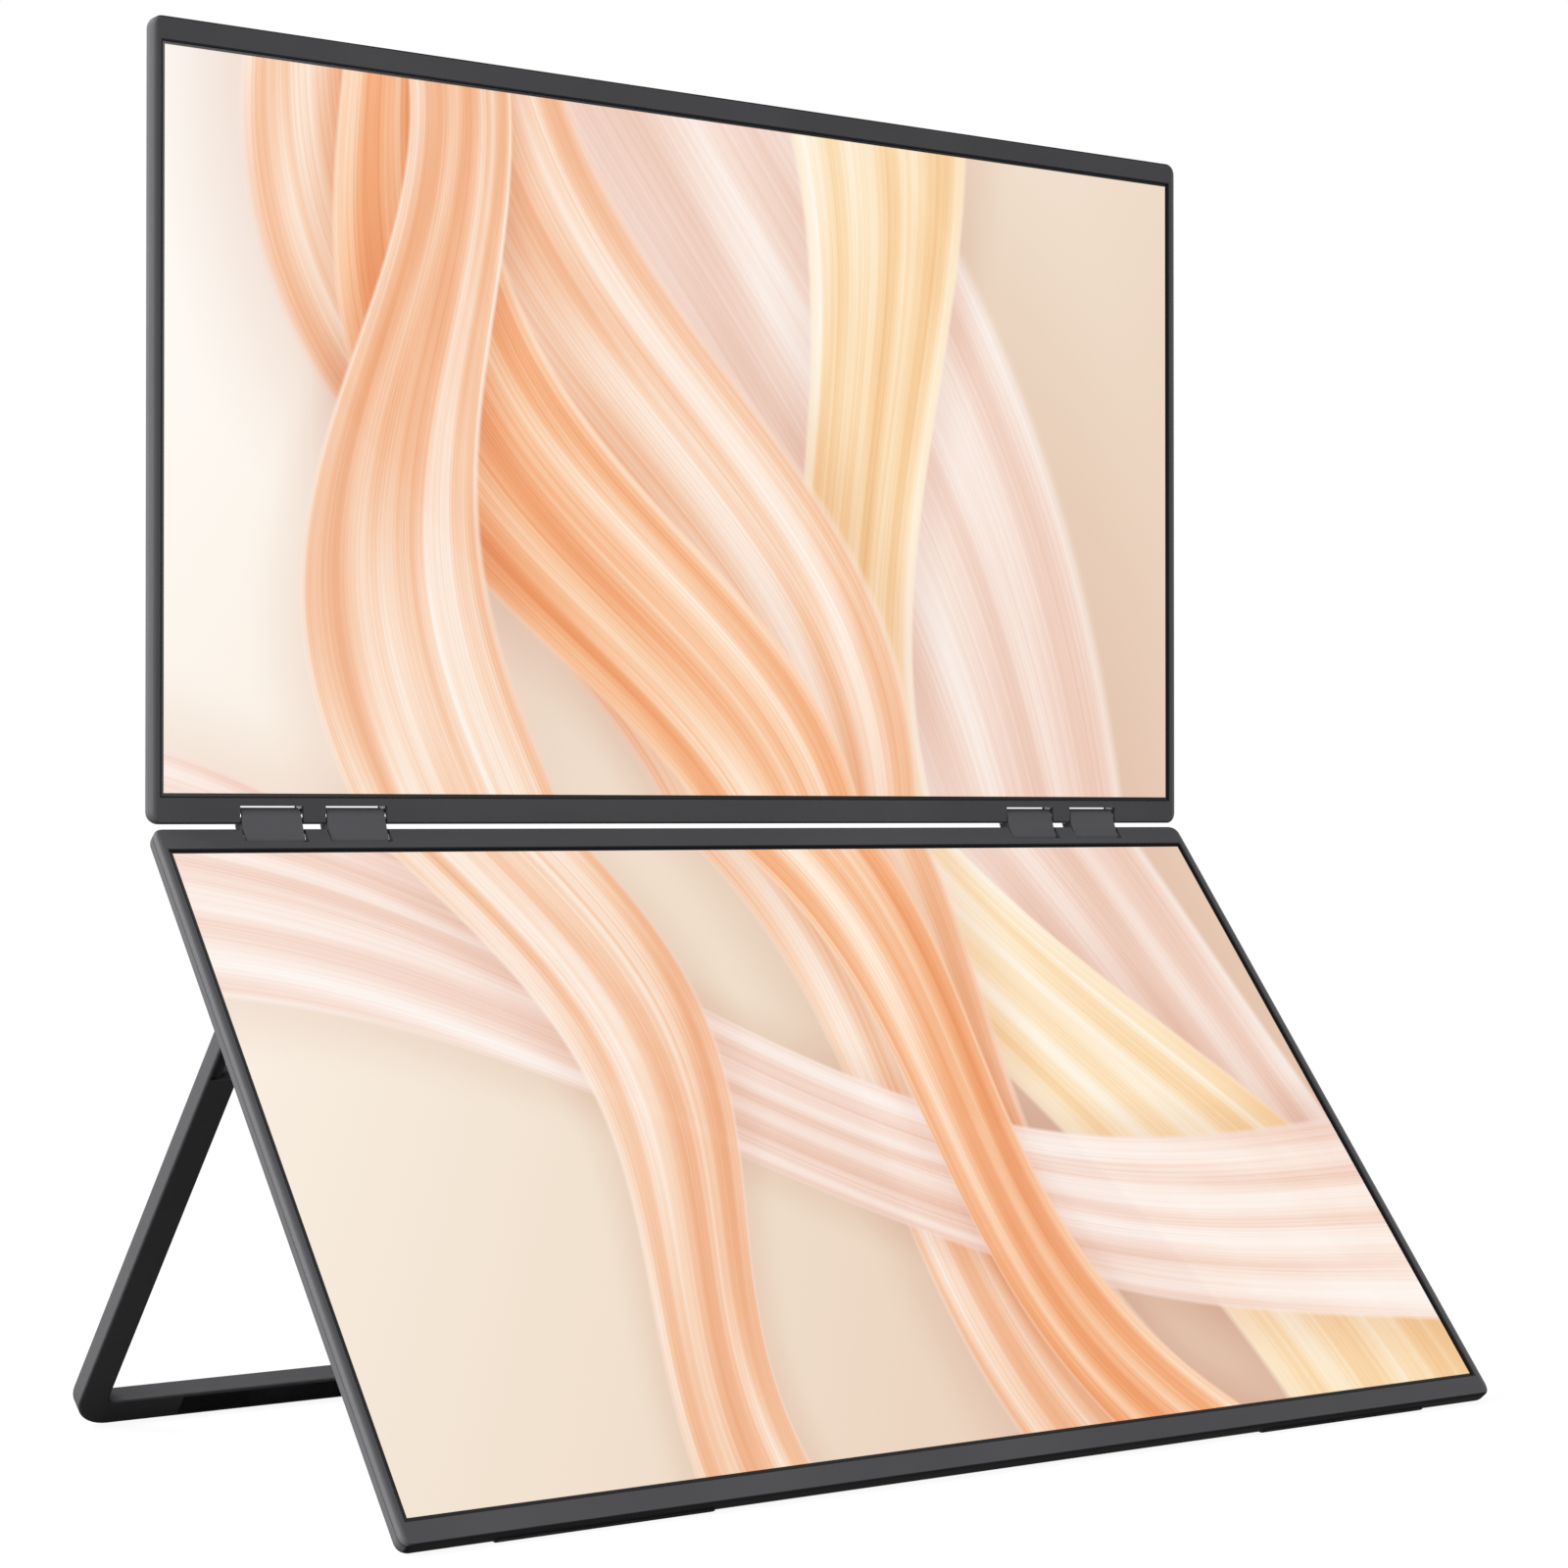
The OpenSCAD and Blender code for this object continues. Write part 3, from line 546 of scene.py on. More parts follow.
@dataclass(frozen=True)
class FrontFrame(Finish):
    """Moulded front frame between two metal rails, with painted shade at the glass and far edge.

    Attributes:
        outline: The frame's edges.
        seam: The seam at its rim.
        colour: Its colour.
        rail: The rails' colour.
        rail_width: Width of the rails at the two sides, which fade into the frame.
        rail_edge: How much of that width has the rails' full colour.
        lip_shade_width: Width of the painted shade on the lip at the glass.
        grain: Width of a grain of the texture.
        relief: Height of the texture.
        blotch: Size of the slow changes.
    """

    outline: Outline
    seam: Seam
    colour: Colour
    rail: Colour
    rail_width: float = 2.0 * MM
    rail_edge: float = 0.2 * MM
    lip_shade_width: float = 0.5 * MM
    grain: float = 0.35 * MM
    relief: float = 0.012 * MM
    blotch: float = 60 * MM

    def build(self, bench: NodeBench) -> None:
        """Distances tell the rails, the seam, and painted shade at the lip and far edge; fine grain is relief.

        Args:
            bench: The material's node tree.
        """
        outline = self.outline
        across, along = abs(bench.across(outline.plate)), bench.along(outline.plate)
        before, beyond = outline.opening_start - along, along - outline.opening_end
        past = (across - outline.half_opening).at_least(before.at_least(beyond))
        grain = bench.patches(self.grain)
        blotch = bench.patches(self.blotch, 3.0)
        colour = bench.mottle(blotch.rise(*NOISE_SPAN), self.colour, 0.93, 1.07)
        for mask, over in (
            # Painted shade: the frame darkened along its lip at the glass.
            (past.rise(self.lip_shade_width, self.lip_shade_width * 0.8), shade(self.colour, 0.3)),
            ((outline.half_width - across).rise(self.rail_width, self.rail_edge), self.rail),
            (self.seam.mask(bench), shade(self.colour, SEAM_AND_PAINTED_SHADE)),
            # Painted shade: the far edge's narrow face darkened as if in shadow.
            (outline.painted_far_shade_mask(bench), shade(self.colour, SEAM_AND_PAINTED_SHADE)),
        ):
            colour = bench.blend(mask, colour, over)
        bench.surface(
            Base_Color=colour,
            Roughness=blotch.about(0.52, 0.12),
            Specular_IOR_Level=0.01,
            Normal=bench.bump(grain, self.relief),
        )


@dataclass(frozen=True)
class MouldedPlastic(Finish):
    """Moulded plastic with a fine spark-eroded texture.

    Attributes:
        colour: Its colour.
        roughness: Its mean roughness.
        specular: Strength of its gloss.
        grain: Width of a grain of the texture.
        relief: Height of the texture.
        blotch: Size of the slow changes.
    """

    colour: Colour
    roughness: float
    specular: float
    grain: float = 0.35 * MM
    relief: float = 0.012 * MM
    blotch: float = 60 * MM

    def build(self, bench: NodeBench) -> None:
        """Grain for the relief, and slow blotches for the colour and the gloss.

        Args:
            bench: The material's node tree.
        """
        grain = bench.patches(self.grain)
        blotch = bench.patches(self.blotch, 3.0)
        tone = (blotch * 0.7 + grain * 0.3).rise(*NOISE_SPAN)
        bench.surface(
            Base_Color=bench.mottle(tone, self.colour, 0.92, 1.08),
            Roughness=blotch.about(self.roughness, 0.12),
            Specular_IOR_Level=self.specular,
            Normal=bench.bump(grain, self.relief),
        )


@dataclass(frozen=True)
class SatinMetal(Finish):
    """Blasted and anodised or painted metal.

    Attributes:
        colour: Its colour.
        metallic: Share of the bare metal's look.
        roughness: Its mean roughness.
        specular: Strength of its gloss.
        seam: The seam at its rim, or None.
        outline: The screen's edges, for painted shade on the far edge, or None.
        far_painted_shade: How dark the painted shade on that edge is, as a share of the colour.
        grain: Width of a blasted pit.
        relief: Depth of the pits.
        rolled: Lines per metre of the rolling grain along each axis.
        cloud: Size of the slow changes.
    """

    colour: Colour
    metallic: float
    roughness: float
    specular: float
    seam: Seam | None = None
    outline: Outline | None = None
    far_painted_shade: float = 0.08
    grain: float = 0.16 * MM
    relief: float = 0.006 * MM
    rolled: tuple[float, float, float] = (12.0, 900.0, 900.0)
    cloud: float = 45 * MM

    def build(self, bench: NodeBench) -> None:
        """Pits for the relief, a faint rolling grain along X, and slow changes of gloss.

        Args:
            bench: The material's node tree.
        """
        pits = bench.patches(self.grain, 1.0)
        rolled = bench.streaks(self.rolled)
        cloud = bench.patches(self.cloud, 3.0)
        tone = (pits * 0.35 + rolled * 0.25 + cloud * 0.4).rise(0.35, 0.65)
        colour = bench.mottle(tone, self.colour, 0.93, 1.07)
        if self.seam is not None:
            colour = bench.blend(self.seam.mask(bench), colour, shade(self.colour, SEAM_AND_PAINTED_SHADE))
        # Painted shade: the far edge's narrow face darkened as if in shadow.
        if self.outline is not None:
            edge = self.outline.painted_far_shade_mask(bench)
            colour = bench.blend(edge, colour, shade(self.colour, self.far_painted_shade))
        bench.surface(
            Base_Color=colour,
            Metallic=self.metallic,
            Roughness=(rolled * 0.5 + cloud * 0.5).about(self.roughness, 0.16),
            Specular_IOR_Level=self.specular,
            Normal=bench.bump(pits, self.relief),
        )


@dataclass(frozen=True)
class BrushedSteel(Finish):
    """Steel with fine lines in one direction.

    Attributes:
        colour: Its colour.
        roughness: Its mean roughness.
        lines: Lines per metre along each axis.
        relief: Depth of the lines.
        film: Size of the patches of oil.
    """

    colour: Colour
    roughness: float
    lines: tuple[float, float, float] = (40.0, 4000.0, 4000.0)
    relief: float = 0.004 * MM
    film: float = 8 * MM

    def build(self, bench: NodeBench) -> None:
        """Stretched noise for the lines, and a cloudy film of oil.

        Args:
            bench: The material's node tree.
        """
        lines = bench.streaks(self.lines, 3.0)
        film = bench.patches(self.film)
        tone = (lines * 0.6 + film * 0.4).rise(*NOISE_SPAN)
        bench.surface(
            Base_Color=bench.mottle(tone, self.colour, 0.8, 1.1),
            Metallic=1.0,
            Roughness=film.about(self.roughness, 0.2),
            Normal=bench.bump(lines, self.relief),
        )


@dataclass(frozen=True)
class SoftRubber(Finish):
    """Matt rubber with a dusty bloom.

    Attributes:
        colour: Its colour.
        pore: Width of a pore.
        relief: Depth of the pores.
        bloom: Size of the paler patches.
    """

    colour: Colour = (0.012, 0.012, 0.013)
    pore: float = 0.25 * MM
    relief: float = 0.02 * MM
    bloom: float = 12 * MM

    def build(self, bench: NodeBench) -> None:
        """Pores for the relief, and a paler bloom in blotches.

        Args:
            bench: The material's node tree.
        """
        pores = bench.patches(self.pore, 3.0)
        bloom = bench.patches(self.bloom, 4.0).rise(0.42, 0.75)
        bench.surface(
            Base_Color=bench.mottle(bloom, self.colour, 0.9, 1.9),
            Roughness=pores.about(0.82, 0.2),
            Specular_IOR_Level=0.03,
            Normal=bench.bump(pores, self.relief),
        )


@dataclass(frozen=True)
class SolderMask(Finish):
    """A circuit board: green mask over copper tracks, with black chips above it.

    Attributes:
        plate: Axes of the screen it lies in.
        chip_depth: Depth behind the front face at which the chips' tops begin. A metre leaves
            them out.
        pitch: Distance between tracks.
        cell: Size of the cells in which the tracks run one way.
        relief: Height of the tracks and chips.
        bare: The mask's colour over the board.
        copper: Its colour over a track.
        resin: The chips' colour.
        grain: Width of a grain of the chips' moulding.
    """

    plate: PlateFrame
    chip_depth: float = 1.0
    pitch: float = 0.9 * MM
    cell: float = 7 * MM
    relief: float = 0.03 * MM
    bare: Colour = (0.012, 0.07, 0.03)
    copper: Colour = (0.025, 0.13, 0.055)
    resin: Colour = (0.014, 0.014, 0.015)
    grain: float = 0.3 * MM

    def build(self, bench: NodeBench) -> None:
        """Tracks both ways, switched by large cells, under the mask; chips by their depth.

        Args:
            bench: The material's node tree.
        """
        way = bench.patches(self.cell, 1.0).rise(0.49, 0.51)
        across = (bench.across(self.plate) / self.pitch).fraction()
        along = (bench.along(self.plate) / self.pitch).fraction()
        track = abs(across * way + along * (1 - way) - 0.5).rise(0.3, 0.22)
        mask = bench.blend(track, self.bare, self.copper)
        chip = bench.depth(self.plate).rise(self.chip_depth, self.chip_depth + 0.05 * MM)
        moulding = bench.patches(self.grain)
        bench.surface(
            Base_Color=bench.blend(chip, mask, self.resin),
            Roughness=0.28 + 0.3 * chip + 0.1 * moulding,
            Normal=bench.bump(track * (1 - chip) + moulding * chip * 0.3, self.relief),
        )


@dataclass(frozen=True)
class AmberFilm(Finish):
    """Flexible film with copper lines under it.

    Attributes:
        pitch: Distance between the lines.
        amber: The film's colour.
        copper: Its colour over a line.
        haze: Size of the changes of gloss.
        relief: Height of the lines.
    """

    pitch: float = 0.5 * MM
    amber: Colour = (0.42, 0.17, 0.03)
    copper: Colour = (0.6, 0.3, 0.1)
    haze: float = 2 * MM
    relief: float = 0.01 * MM

    def build(self, bench: NodeBench) -> None:
        """Lines across X under the amber film.

        Args:
            bench: The material's node tree.
        """
        line = bench.distance(ACROSS, (0.0, 0.0, 0.0)).stripes(self.pitch, 0.28, 0.2)
        bench.surface(
            Base_Color=bench.blend(line, self.amber, self.copper),
            Roughness=bench.patches(self.haze).about(0.35, 0.1),
            Normal=bench.bump(line, self.relief),
        )


@dataclass(frozen=True)
class PanelGlass(Finish):
    """The panel's glass over its black printed border, with a fine matt coating.

    Attributes:
        coating: Width of a grain of the coating.
        relief: Height of the coating.
        cloud: Size of the slow changes.
        inks: Darkest and lightest black of the border.
    """

    coating: float = 0.12 * MM
    relief: float = 0.001 * MM
    cloud: float = 50 * MM
    inks: tuple[Colour, Colour] = ((0.004, 0.004, 0.005), (0.008, 0.008, 0.009))

    def build(self, bench: NodeBench) -> None:
        """Coating grain for the relief, and slow changes of gloss.

        Args:
            bench: The material's node tree.
        """
        cloud = bench.patches(self.cloud)
        bench.surface(
            Base_Color=bench.blend(cloud, *self.inks),
            Roughness=cloud.about(0.27, 0.1),
            Specular_IOR_Level=0.2,
            Normal=bench.bump(bench.patches(self.coating, 1.0), self.relief),
        )


@dataclass(frozen=True)
class LightGuide(Finish):
    """White tray of the backlight, with its fine dots.

    Attributes:
        pitch: Distance between the dots.
        tray: The tray's colour.
        dots: The dots' colour.
        relief: Height of the dots.
    """

    pitch: float = 1.2 * MM
    tray: Colour = (0.72, 0.73, 0.74)
    dots: Colour = (0.85, 0.85, 0.84)
    relief: float = 0.01 * MM

    def build(self, bench: NodeBench) -> None:
        """A field of round dots that is a little brighter.

        Args:
            bench: The material's node tree.
        """
        cells = bench.signal("ShaderNodeTexVoronoi", None, {"Scale": 1 / self.pitch})
        dot = cells.rise(0.35, 0.2)
        bench.surface(
            Base_Color=bench.blend(dot, self.tray, self.dots),
            Roughness=dot.about(0.4, -0.1),
            Normal=bench.bump(dot, self.relief),
        )


@dataclass(frozen=True)
class WovenCloth(Finish):
    """Black acoustic cloth over a speaker.

    Attributes:
        plate: Axes of the screen it lies behind.
        thread: Distance between threads.
        relief: Height of the weave.
        low: Colour between the threads, painted shade in the weave's gaps.
        high: Colour on top of them.
    """

    plate: PlateFrame
    thread: float = 0.4 * MM
    relief: float = 0.1 * MM
    low: Colour = (0.006, 0.006, 0.006)
    high: Colour = (0.03, 0.03, 0.031)

    def build(self, bench: NodeBench) -> None:
        """Two sine waves at right angles for the threads, with painted shade between them.

        Args:
            bench: The material's node tree.
        """
        turns = 2 * math.pi / self.thread
        across = (bench.across(self.plate) * turns).sine()
        along = (bench.along(self.plate) * turns).sine()
        weave = across * along * 0.5 + 0.5
        bench.surface(
            # Painted shade: darker in the gaps between the threads.
            Base_Color=bench.blend(weave, self.low, self.high),
            Roughness=weave.about(0.8, -0.2),
            Normal=bench.bump(weave, self.relief),
        )


@dataclass(frozen=True)
class PortMetal(Finish):
    """Drawn steel shell of a port, with a black tongue and its gold contacts.

    Attributes:
        plate: Axes of the screen it lies behind.
        middle: Depth of the ports' middle behind the front face.
        tongue: Thickness of the contact tongue.
        mouth: Distance across at which the tongues begin.
        pitch: Distance between contacts.
        lines: Drawing lines per metre along each axis.
        steels: Darkest and lightest colour of the shell.
        resin: The tongue's colour.
        gold: The contacts' colour.
        relief: Depth of the drawing lines.
    """

    plate: PlateFrame
    middle: float
    tongue: float
    mouth: float
    pitch: float = 0.5 * MM
    lines: tuple[float, float, float] = (100.0, 2500.0, 2500.0)
    steels: tuple[Colour, Colour] = ((0.36, 0.36, 0.37), (0.56, 0.56, 0.57))
    resin: Colour = (0.01, 0.01, 0.011)
    gold: Colour = (0.75, 0.5, 0.18)
    relief: float = 0.003 * MM

    def build(self, bench: NodeBench) -> None:
        """The tongue is what lies near the ports' middle depth and behind their mouth.

        Args:
            bench: The material's node tree.
        """
        off = abs(bench.depth(self.plate) - self.middle)
        inside = bench.across(self.plate).rise(self.mouth, self.mouth - 0.02 * MM)
        tongue = off.rise(self.tongue * 0.52, self.tongue * 0.51) * inside
        gold = tongue * bench.along(self.plate).stripes(self.pitch, 0.3, 0.24)
        drawn = bench.streaks(self.lines)
        steel = bench.blend(drawn, *self.steels)
        bench.surface(
            Base_Color=bench.blend(tongue, steel, bench.blend(gold, self.resin, self.gold)),
            Metallic=(1 - tongue).at_least(gold),
            Roughness=drawn.about(0.36, 0.12),
            Normal=bench.bump(drawn, self.relief),
        )


GROUND_STEEL = BrushedSteel("ground_steel", (0.5, 0.5, 0.5), 0.22)
WASHER_STEEL = BrushedSteel("washer_steel", (0.5, 0.5, 0.5), 0.25)
STAMPED_STEEL = BrushedSteel("stamped_steel", (0.35, 0.35, 0.36), 0.36)
BRIGHT_SCREW_STEEL = BrushedSteel("bright_screw_steel", (0.45, 0.45, 0.46), 0.3)
DARK_SCREW_STEEL = BrushedSteel("dark_screw_steel", (0.06, 0.06, 0.062), 0.4)
HOUSING_PLASTIC = MouldedPlastic(
    "housing_plastic", (0.02, 0.02, 0.022), 0.5, 0.35, 0.5 * MM, 0.02 * MM
)
JACK_PLASTIC = MouldedPlastic("jack_plastic", (0.012, 0.012, 0.012), 0.25, 0.5)
SWITCH_PLASTIC = MouldedPlastic("switch_plastic", (0.04, 0.04, 0.045), 0.5, 0.4)
BUTTON_PLASTIC = MouldedPlastic("button_plastic", (0.035, 0.035, 0.037), 0.4, 0.45, 0.25 * MM)
FOOT_RUBBER = SoftRubber("foot_rubber")


# ---------------------------------------------------------------- the picture on the screens


# Patches of noise over a band, as counts along it and across it
THREADS = (2.0, 70.0)
PLEATS = (1.2, 9.0)
DRIFT = (2.2, 1.1)


@dataclass(frozen=True)
class Ribbon:
    """One band of silk in the picture. Lengths are shares of the picture's width.

    Attributes:
        start: Place that the middle line passes through.
        heading: Direction of the middle line, in degrees from the right.
        width: Half its width.
        swing: How far the middle line swings to each side.
        wave: Length of one whole swing.
        phase: Where along it the swing starts, in turns.
        folds: Number of folds across it.
        colours: Its fold, body, light and crest.
        veil: How much it covers.
        places: Tones at which its four colours lie.
        shadow: Colour of its shadow on what lies below.
        swell: How much its width swells and shrinks, as a share.
    """

    start: tuple[float, float]
    heading: float
    width: float
    swing: float
    wave: float
    phase: float
    folds: float
    colours: tuple[str, str, str, str]
    veil: float
    places: tuple[float, float, float, float] = (0.08, 0.4, 0.66, 0.92)
    shadow: str = "#d08a5c"
    swell: float = 0.32

    def draw(self, bench: NodeBench, x: Signal, y: Signal, below: Signal) -> Signal:
        """Lays the band over the picture.

        The band's own axes run along and across its heading. Its middle line swings as a sine,
        its width swells as another, and its folds are sines across it that drift along it.

        Args:
            bench: The picture's node tree.
            x: Place across the picture.
            y: Place up the picture.
            below: The picture without this band.

        Returns:
            The picture with this band.
        """
        turn = math.radians(self.heading)
        right, up = x - self.start[0], y - self.start[1]
        along = right * math.cos(turn) + up * math.sin(turn)
        aside = up * math.cos(turn) - right * math.sin(turn)
        angle = along * (2 * math.pi / self.wave) + 2 * math.pi * self.phase
        half_width = (1 + self.swell * (angle * 0.73 + 1.9).sine()) * self.width
        across = (aside - angle.sine() * self.swing) / half_width

        def streaks(counts: tuple[float, float], seed: float, detail: float = 2.0) -> Signal:
            """Noise with so many patches along and across the band."""
            where = bench.vector(along * counts[0], across * counts[1], seed)
            return bench.noise(where, detail=detail)

        threads = streaks(THREADS, self.phase * 7)
        pleats = streaks(PLEATS, self.phase * 5)
        drift = streaks(DRIFT, self.phase * 3 + 5, 1.0)
        fold = (across * (math.pi * self.folds) + drift * 9.0 + along * 2.0).sine() * 0.5 + 0.5
        gleam = (along * 6.0 + across * 1.8 + self.phase * 9).sine() * 0.5 + 0.5
        tone = fold * 0.3 + gleam * 0.26 + pleats * 0.5 + (threads - 0.5) * 0.5
        silk = bench.ramp(tone, list(zip(self.places, map(tint, self.colours))))
        edge = abs(across)
        rim = edge.rise(0.9, 0.98) * edge.rise(1.0, 0.98) * 0.4
        silk = bench.blend(rim, silk, tint(self.colours[-1]))
        shadow = edge.rise(1.6, 0.9) * (0.2 * self.veil)
        shaded = bench.blend(shadow, below, tint(self.shadow), "MULTIPLY")
        return bench.blend(edge.rise(1.0, 0.93) * self.veil, shaded, silk)


PEACH = ("#e79a69", "#f4bb92", "#fadbc2", "#fffaf4")
ORANGE = ("#e2834c", "#f2a46e", "#f9caa2", "#fff1e0")
BLUSH = ("#e6b9a4", "#f3d3c5", "#fbe9e0", "#fffdfb")
GOLD = ("#efb878", "#fad5a1", "#fdeac7", "#fffcf4")


@dataclass(frozen=True)
class SilkPicture(Finish):
    """The lit picture: bands of silk in front of a cream wall, one design over both screens.

    Attributes:
        wall: The wall's colours from the upper left to the lower right.
        places: Shades at which they lie.
        slope: How much the shade grows to the right and upwards, and what it is at the corner.
        ribbons: The bands, the furthest first.
        strength: Brightness of the backlight.
    """

    wall: tuple[str, ...] = ("#fcfaf6", "#fbf2e8", "#f2e4d2", "#ecd9c5", "#e7cab5")
    places: tuple[float, ...] = (0.0, 0.25, 0.5, 0.75, 1.0)
    slope: tuple[float, float, float] = (0.75, -0.45, 0.25)
    ribbons: tuple[Ribbon, ...] = (
        Ribbon((0.6, 0.2), -64.0, 0.2, 0.06, 1.7, 0.15, 5.0, BLUSH, 0.8),
        Ribbon((0.66, 0.3), -78.0, 0.1, 0.07, 1.2, 0.5, 3.5, GOLD, 0.9),
        Ribbon((0.42, 0.2), -70.0, 0.13, 0.09, 1.15, 0.05, 4.5, PEACH, 0.92),
        Ribbon((0.5, -0.3), -18.0, 0.1, 0.06, 1.3, 0.62, 4.0, BLUSH, 0.88),
        Ribbon((0.46, 0.05), -66.0, 0.07, 0.08, 1.0, 0.12, 3.0, ORANGE, 0.95),
        Ribbon((0.3, -0.35), -84.0, 0.07, 0.05, 0.8, 0.4, 3.0, PEACH, 0.9),
    )
    strength: float = 1.0

    def build(self, bench: NodeBench) -> None:
        """The wall, then each band over the last, as light from under a dark matt coating.

        Args:
            bench: The material's node tree.
        """
        parts = bench.node(
            "ShaderNodeSeparateXYZ", None, {0: bench.signal("ShaderNodeTexCoord", output="UV")}
        )
        x, y = Signal(bench, parts.outputs[0]), Signal(bench, parts.outputs[1])
        right, up, start = self.slope
        stops = list(zip(self.places, map(tint, self.wall)))
        picture = bench.ramp(x * right + y * up + start, stops)
        for ribbon in self.ribbons:
            picture = ribbon.draw(bench, x, y, picture)
        bench.surface(
            Base_Color=BLACK,
            Roughness=0.45,
            Specular_IOR_Level=0.1,
            Emission_Color=picture,
            Emission_Strength=self.strength,
        )


# ---------------------------------------------------------------- mesh work


def grid_faces(rows: int, columns: int, closed: bool = False) -> np.ndarray:
    """Four-cornered faces of a grid of points that are numbered row by row.

    Args:
        rows: Number of rows.
        columns: Number of points in a row.
        closed: Whether the last column joins the first.

    Returns:
        The faces, as an array of four numbers each.
    """
    row, column = np.meshgrid(
        np.arange(rows - 1), np.arange(columns if closed else columns - 1), indexing="ij"
    )
    here, above, beside = row * columns, (row + 1) * columns, (column + 1) % columns
    corners = (here + column, here + beside, above + beside, above + column)
    return np.stack(corners, axis=-1).reshape(-1, 4)


def tube_faces(rings: int, turns: int) -> list[list[int]]:
    """Faces of a tube of closed rings, with a cap at each end.

    Args:
        rings: Number of rings along the tube.
        turns: Number of points in a ring, anticlockwise for an eye that the tube comes to.

    Returns:
        The faces, which look outwards.
    """
    sides = grid_faces(rings, turns, closed=True).tolist()
    last = (rings - 1) * turns
    return sides + [list(range(turns))[::-1], list(range(last, last + turns))]


def new_piece(
    name: str,
    points: np.ndarray,
    faces: Iterable[Sequence[int]],
    finish: Finish,
    uv: np.ndarray | None = None,
) -> bpy.types.Object:
    """Makes an object at the origin with its place in its mesh.

    Args:
        name: Its name.
        points: Its corners, three numbers each.
        faces: The numbers of each face's corners.
        finish: Its finish.
        uv: Two numbers for each corner, or None.

    Returns:
        The object, linked into the scene.
    """
    mesh = bpy.data.meshes.new(name)
    mesh.from_pydata(points.reshape(-1, 3).tolist(), [], [list(map(int, face)) for face in faces])
    if uv is not None:
        corners = np.empty(len(mesh.loops), dtype=np.int32)
        mesh.loops.foreach_get("vertex_index", corners)
        layer = mesh.uv_layers.new(name="UVMap")
        layer.data.foreach_set("uv", uv.reshape(-1, 2)[corners].ravel())
    mesh.polygons.foreach_set("use_smooth", np.ones(len(mesh.polygons), dtype=bool))
    mesh.set_sharp_from_angle(angle=math.radians(SHARP_FROM))
    mesh.materials.append(finish.material())
    made = bpy.data.objects.new(name, mesh)
    bpy.context.scene.collection.objects.link(made)
    LOG.info("%s: %d faces, %s", name, len(mesh.polygons), finish.name)
    return made


def node_points(node: str) -> np.ndarray:
    """Corners of a node of the frame.

    Args:
        node: The node's name.

    Returns:
        Points, three coordinates each.
    """
    mesh = frame["nodes"][node].data
    points = np.empty(len(mesh.vertices) * 3)
    mesh.vertices.foreach_get("co", points)
    return points.reshape(-1, 3)


def island_boxes(node: str, plate: PlateFrame) -> np.ndarray:
    """Box of each separate solid of a node, along the axes of a screen.

    Corners at one place count as one. Every corner then takes the lowest label on its faces,
    over and over, until none changes, so that each solid is left with one label.

    Args:
        node: The node's name.
        plate: The axes to measure along.

    Returns:
        An array of lowest and highest distances across, along and back, one row a solid.
    """
    measured = plate.measure(node_points(node))
    mesh = frame["nodes"][node].data
    mesh.calc_loop_triangles()
    corners = np.empty(len(mesh.loop_triangles) * 3, dtype=np.int32)
    mesh.loop_triangles.foreach_get("vertices", corners)
    _, merged = np.unique(np.round(measured / ONE_PLACE), axis=0, return_inverse=True)
    merged = merged.ravel()
    faces = merged[corners.reshape(-1, 3)]
    label, last = np.arange(merged.max() + 1), None
    while last is None or (label != last).any():
        last = label.copy()
        np.minimum.at(label, faces, label[faces].min(axis=1)[:, None])
    owner = label[merged]
    solids = [measured[owner == k] for k in np.unique(owner)]
    return np.array([[solid.min(axis=0), solid.max(axis=0)] for solid in solids])


